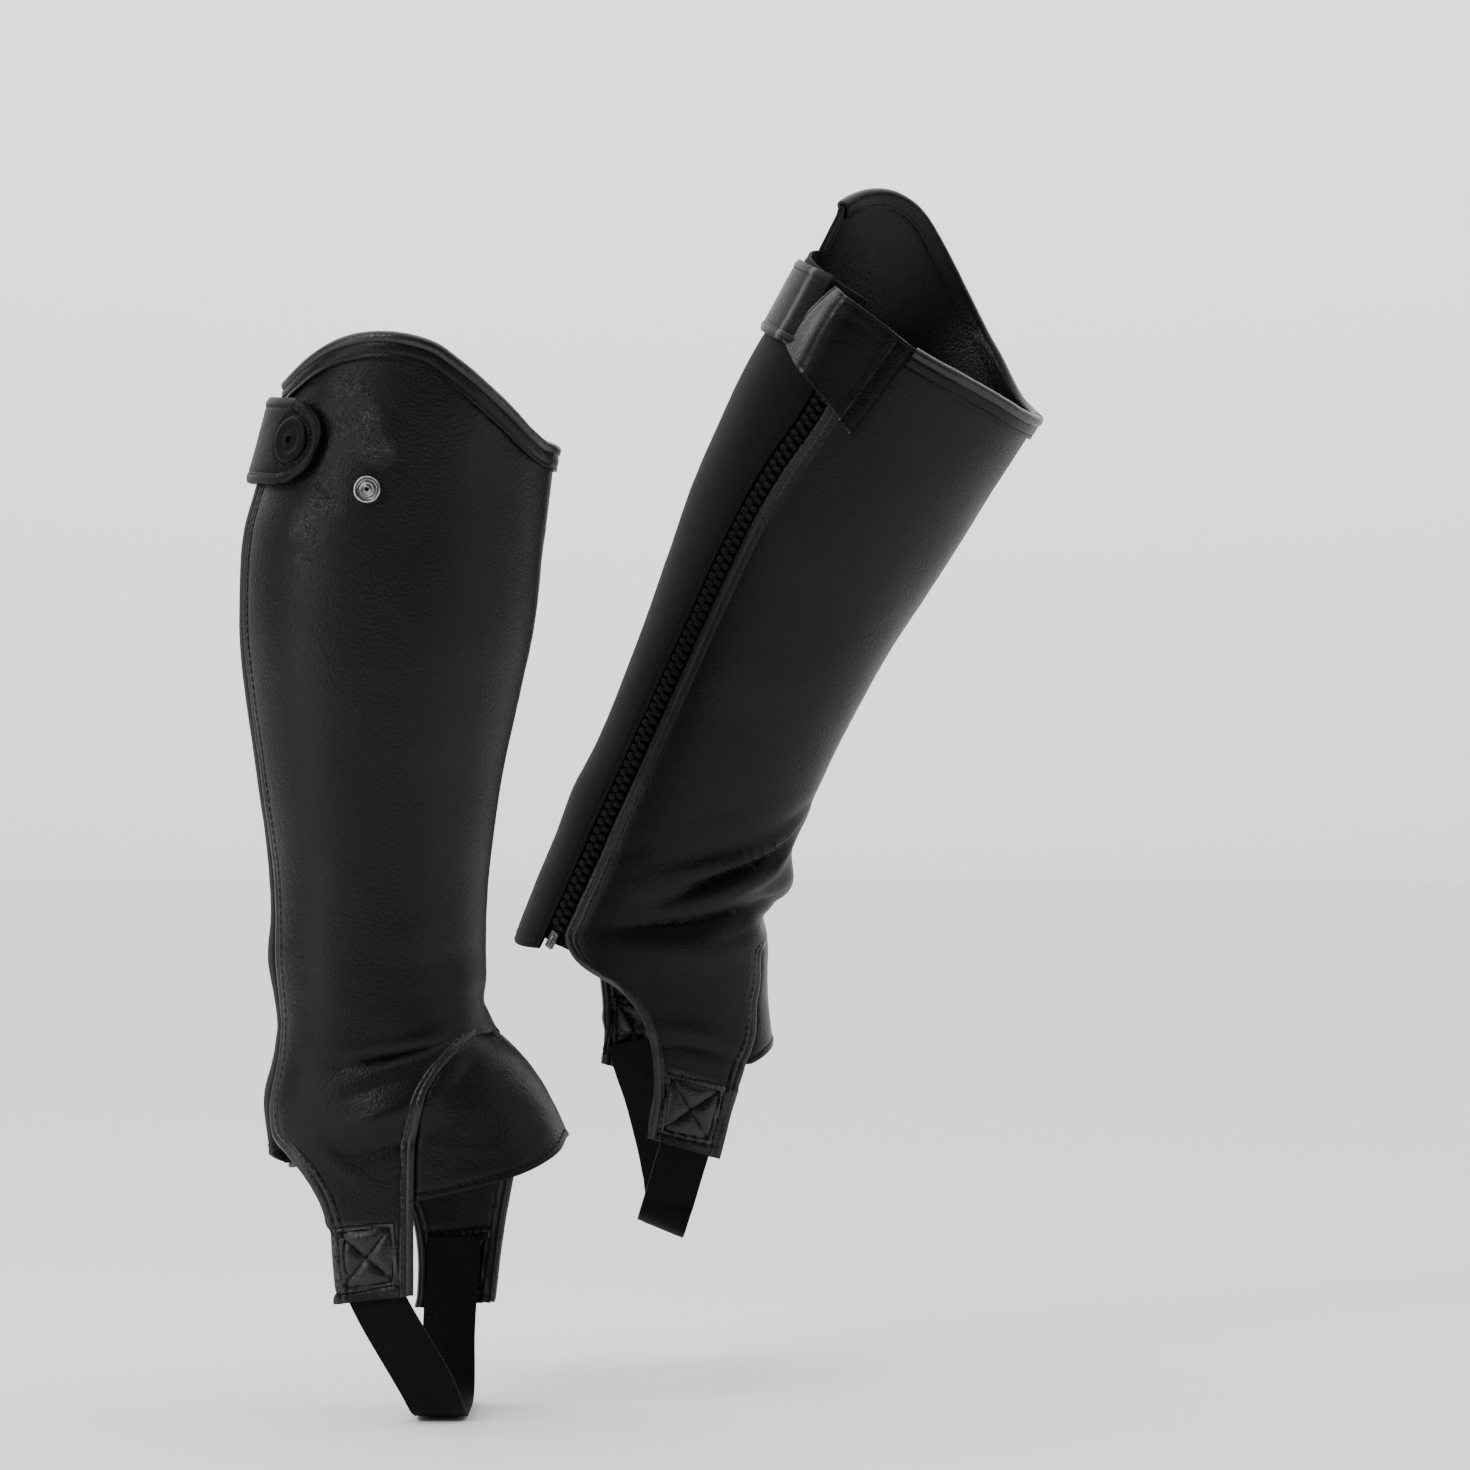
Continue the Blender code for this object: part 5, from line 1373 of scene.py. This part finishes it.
def add_zip_chain(chap):
    """Two rows of moulded teeth, half a pitch apart."""
    levels = np.linspace(*ZIP_CHAIN_ENDS, 400)
    reach = lengths(chap.point(chap.zip_turn(levels), levels))
    origins, axes = [], []
    for row, across in enumerate(ZIP_ROWS):
        at = np.arange(ZIP_PITCH * (0.5 + row / 2), reach[-1], ZIP_PITCH)
        off = TAPE + 0.15 + ZIP_TOOTH[2] / 2
        here, frames = zip_frames(chap, np.interp(at, reach, levels), across, off)
        origins.append(here)
        axes.append(frames)
    mesh = copies_mesh(chap, "zip_chain", rounded_block(ZIP_TOOTH, 0.7, 3), np.concatenate(origins),
                       np.concatenate(axes))
    add_piece(chap, "zip_chain", mesh)


def add_zip_end(chap, name, level, size):
    """The slider or the retainer: a rounded block with a bridge on it."""
    here, frames = zip_frames(chap, np.array([level]), 0.0, TAPE + 0.2 + size[2] / 2)
    corners, faces = rounded_block(size, 0.9, 4)
    bridge, bridge_faces = rounded_block((size[0] * 0.45, size[1] * 0.7, 1.0), 0.4, 3)
    faces = faces + [[k + len(corners) for k in face] for face in bridge_faces]
    corners = np.concatenate((corners, bridge + (0, 0, size[2] / 2 + 0.2)))
    add_piece(chap, name, copies_mesh(chap, name, (corners, faces), here, frames))


def add_turned(chap, name, profile, spot, off):
    """A round piece on the outer side, turned about the outward direction at a spot (x, height)."""
    turn = chap.turn_at(*spot, -1)
    centre, normal = chap.point(turn, spot[1], off), chap.normal(turn, spot[1])
    side = unit(np.cross(normal, (0, 0, 1.0)))
    up = np.cross(side, normal)
    angle = np.linspace(0, 2 * np.pi, 65)
    table = np.array(profile, float)
    round_way = np.cos(angle)[:, None] * side + np.sin(angle)[:, None] * up
    points = centre + table[:, 0, None, None] * round_way[None] + table[:, 1, None, None] * normal
    outward = unit(points - centre + normal * 0.01)
    mesh = grid_mesh(f"{chap.name}_{name}", [chap.world(points)], [outward @ chap.turned.T])
    mesh.set_sharp_from_angle(angle=math.radians(60))
    add_piece(chap, name, mesh)


# ---------------------------------------------------------------- the pair, stage, light and camera

def add_chap(chap):
    seams = add_leather_panel(chap)
    add_stretch_panel(chap, seams)
    add_gusset(chap, seams)
    add_binding(chap)
    add_zip_tape(chap, seams)
    add_zip_chain(chap)
    add_zip_end(chap, "zip_slider", ZIP_SLIDER_HEIGHT, ZIP_SLIDER_SIZE)
    add_zip_end(chap, "zip_retainer", ZIP_RETAINER_HEIGHT, ZIP_RETAINER_SIZE)
    add_flap(chap)
    face = add_closing_strap(chap)
    add_turned(chap, "snap_cap", SNAP_CAP_PROFILE, SNAP_SPOT, face - 0.2)
    add_turned(chap, "panel_stud", STUD_PROFILE, STUD_SPOT, LEATHER + 0.1)
    add_sole_strap(chap)
    chap.sewing.add(chap)


def add_floor():
    mesh = bpy.data.meshes.new("floor")
    build = bmesh.new()
    bmesh.ops.create_circle(build, cap_ends=True, radius=9.0, segments=96)
    build.to_mesh(mesh)
    build.free()
    floor = show("floor", mesh)
    floor.location = (0, 0, cad_box[0][2] - 0.001)
    mesh.materials.append(paper_finish("pale_floor", (0.9, 0.9, 0.9), 0.8))


def add_lamp(name, where, size, power, colour):
    lamp = bpy.data.lights.new(name, "AREA")
    lamp.shape = "RECTANGLE"
    lamp.size, lamp.size_y = size
    lamp.energy = power
    lamp.color = colour
    made = show(name, lamp)
    made.location = where
    made.rotation_euler = (Vector(LAMP_TARGET) - Vector(where)).to_track_quat("-Z", "Y").to_euler()


def add_camera():
    """Level with the middle of the pair, square on to the walking direction."""
    data = bpy.data.cameras.new("camera")
    data.sensor_width = 36.0
    data.lens = CAMERA_LENS
    camera = show("camera", data)
    camera.location = CAMERA_PLACE
    camera.rotation_euler = (math.radians(90), 0, 0)
    bpy.context.scene.camera = camera


def add_world():
    """A studio that is bright behind and above the part and dim on the near side."""
    world = bpy.data.worlds.new("studio")
    world.use_nodes = True
    tree = world.node_tree
    background = tree.nodes["Background"]
    background.inputs["Color"].default_value = (1.0, 1.0, 1.0, 1)
    way = tree.nodes.new("ShaderNodeTexCoord")
    towards = tree.nodes.new("ShaderNodeVectorMath")
    towards.operation = "DOT_PRODUCT"
    towards.inputs[1].default_value = BRIGHT_WAY
    level = tree.nodes.new("ShaderNodeMapRange")
    level.interpolation_type = "SMOOTHSTEP"
    for socket, value in zip(("From Min", "From Max", "To Min", "To Max"), STUDIO_LEVELS):
        level.inputs[socket].default_value = value
    tree.links.new(way.outputs["Generated"], towards.inputs[0])
    tree.links.new(towards.outputs["Value"], level.inputs["Value"])
    tree.links.new(level.outputs["Result"], background.inputs["Strength"])
    bpy.context.scene.world = world


def main():
    finishes = make_finishes()
    right = Chap("right", 1, finishes, RIGHT_LEG, RIGHT_FOLDS, (RIGHT_OUTER_TOP, RIGHT_INNER_TOP),
                 RIGHT_STRETCH, RIGHT_GUSSET_EDGE, RIGHT_GUSSET_TOP,
                 {-1: RIGHT_OUTER_BOX, 1: RIGHT_INNER_BOX}, RIGHT_STRAP_HANG)
    left = Chap("left", -1, finishes, LEFT_LEG, LEFT_FOLDS, (LEFT_OUTER_TOP, LEFT_INNER_TOP),
                LEFT_STRETCH, LEFT_GUSSET_EDGE, LEFT_GUSSET_TOP,
                {-1: LEFT_OUTER_BOX, 1: LEFT_INNER_BOX}, LEFT_STRAP_HANG,
                LEFT_TAB_SWING, LEFT_PLACE, LEFT_LEAN_DEG, LEFT_ROLL_DEG)
    for chap in (right, left):
        add_chap(chap)
    add_floor()
    add_world()
    for lamp in LAMPS:
        add_lamp(*lamp)
    add_camera()


main()
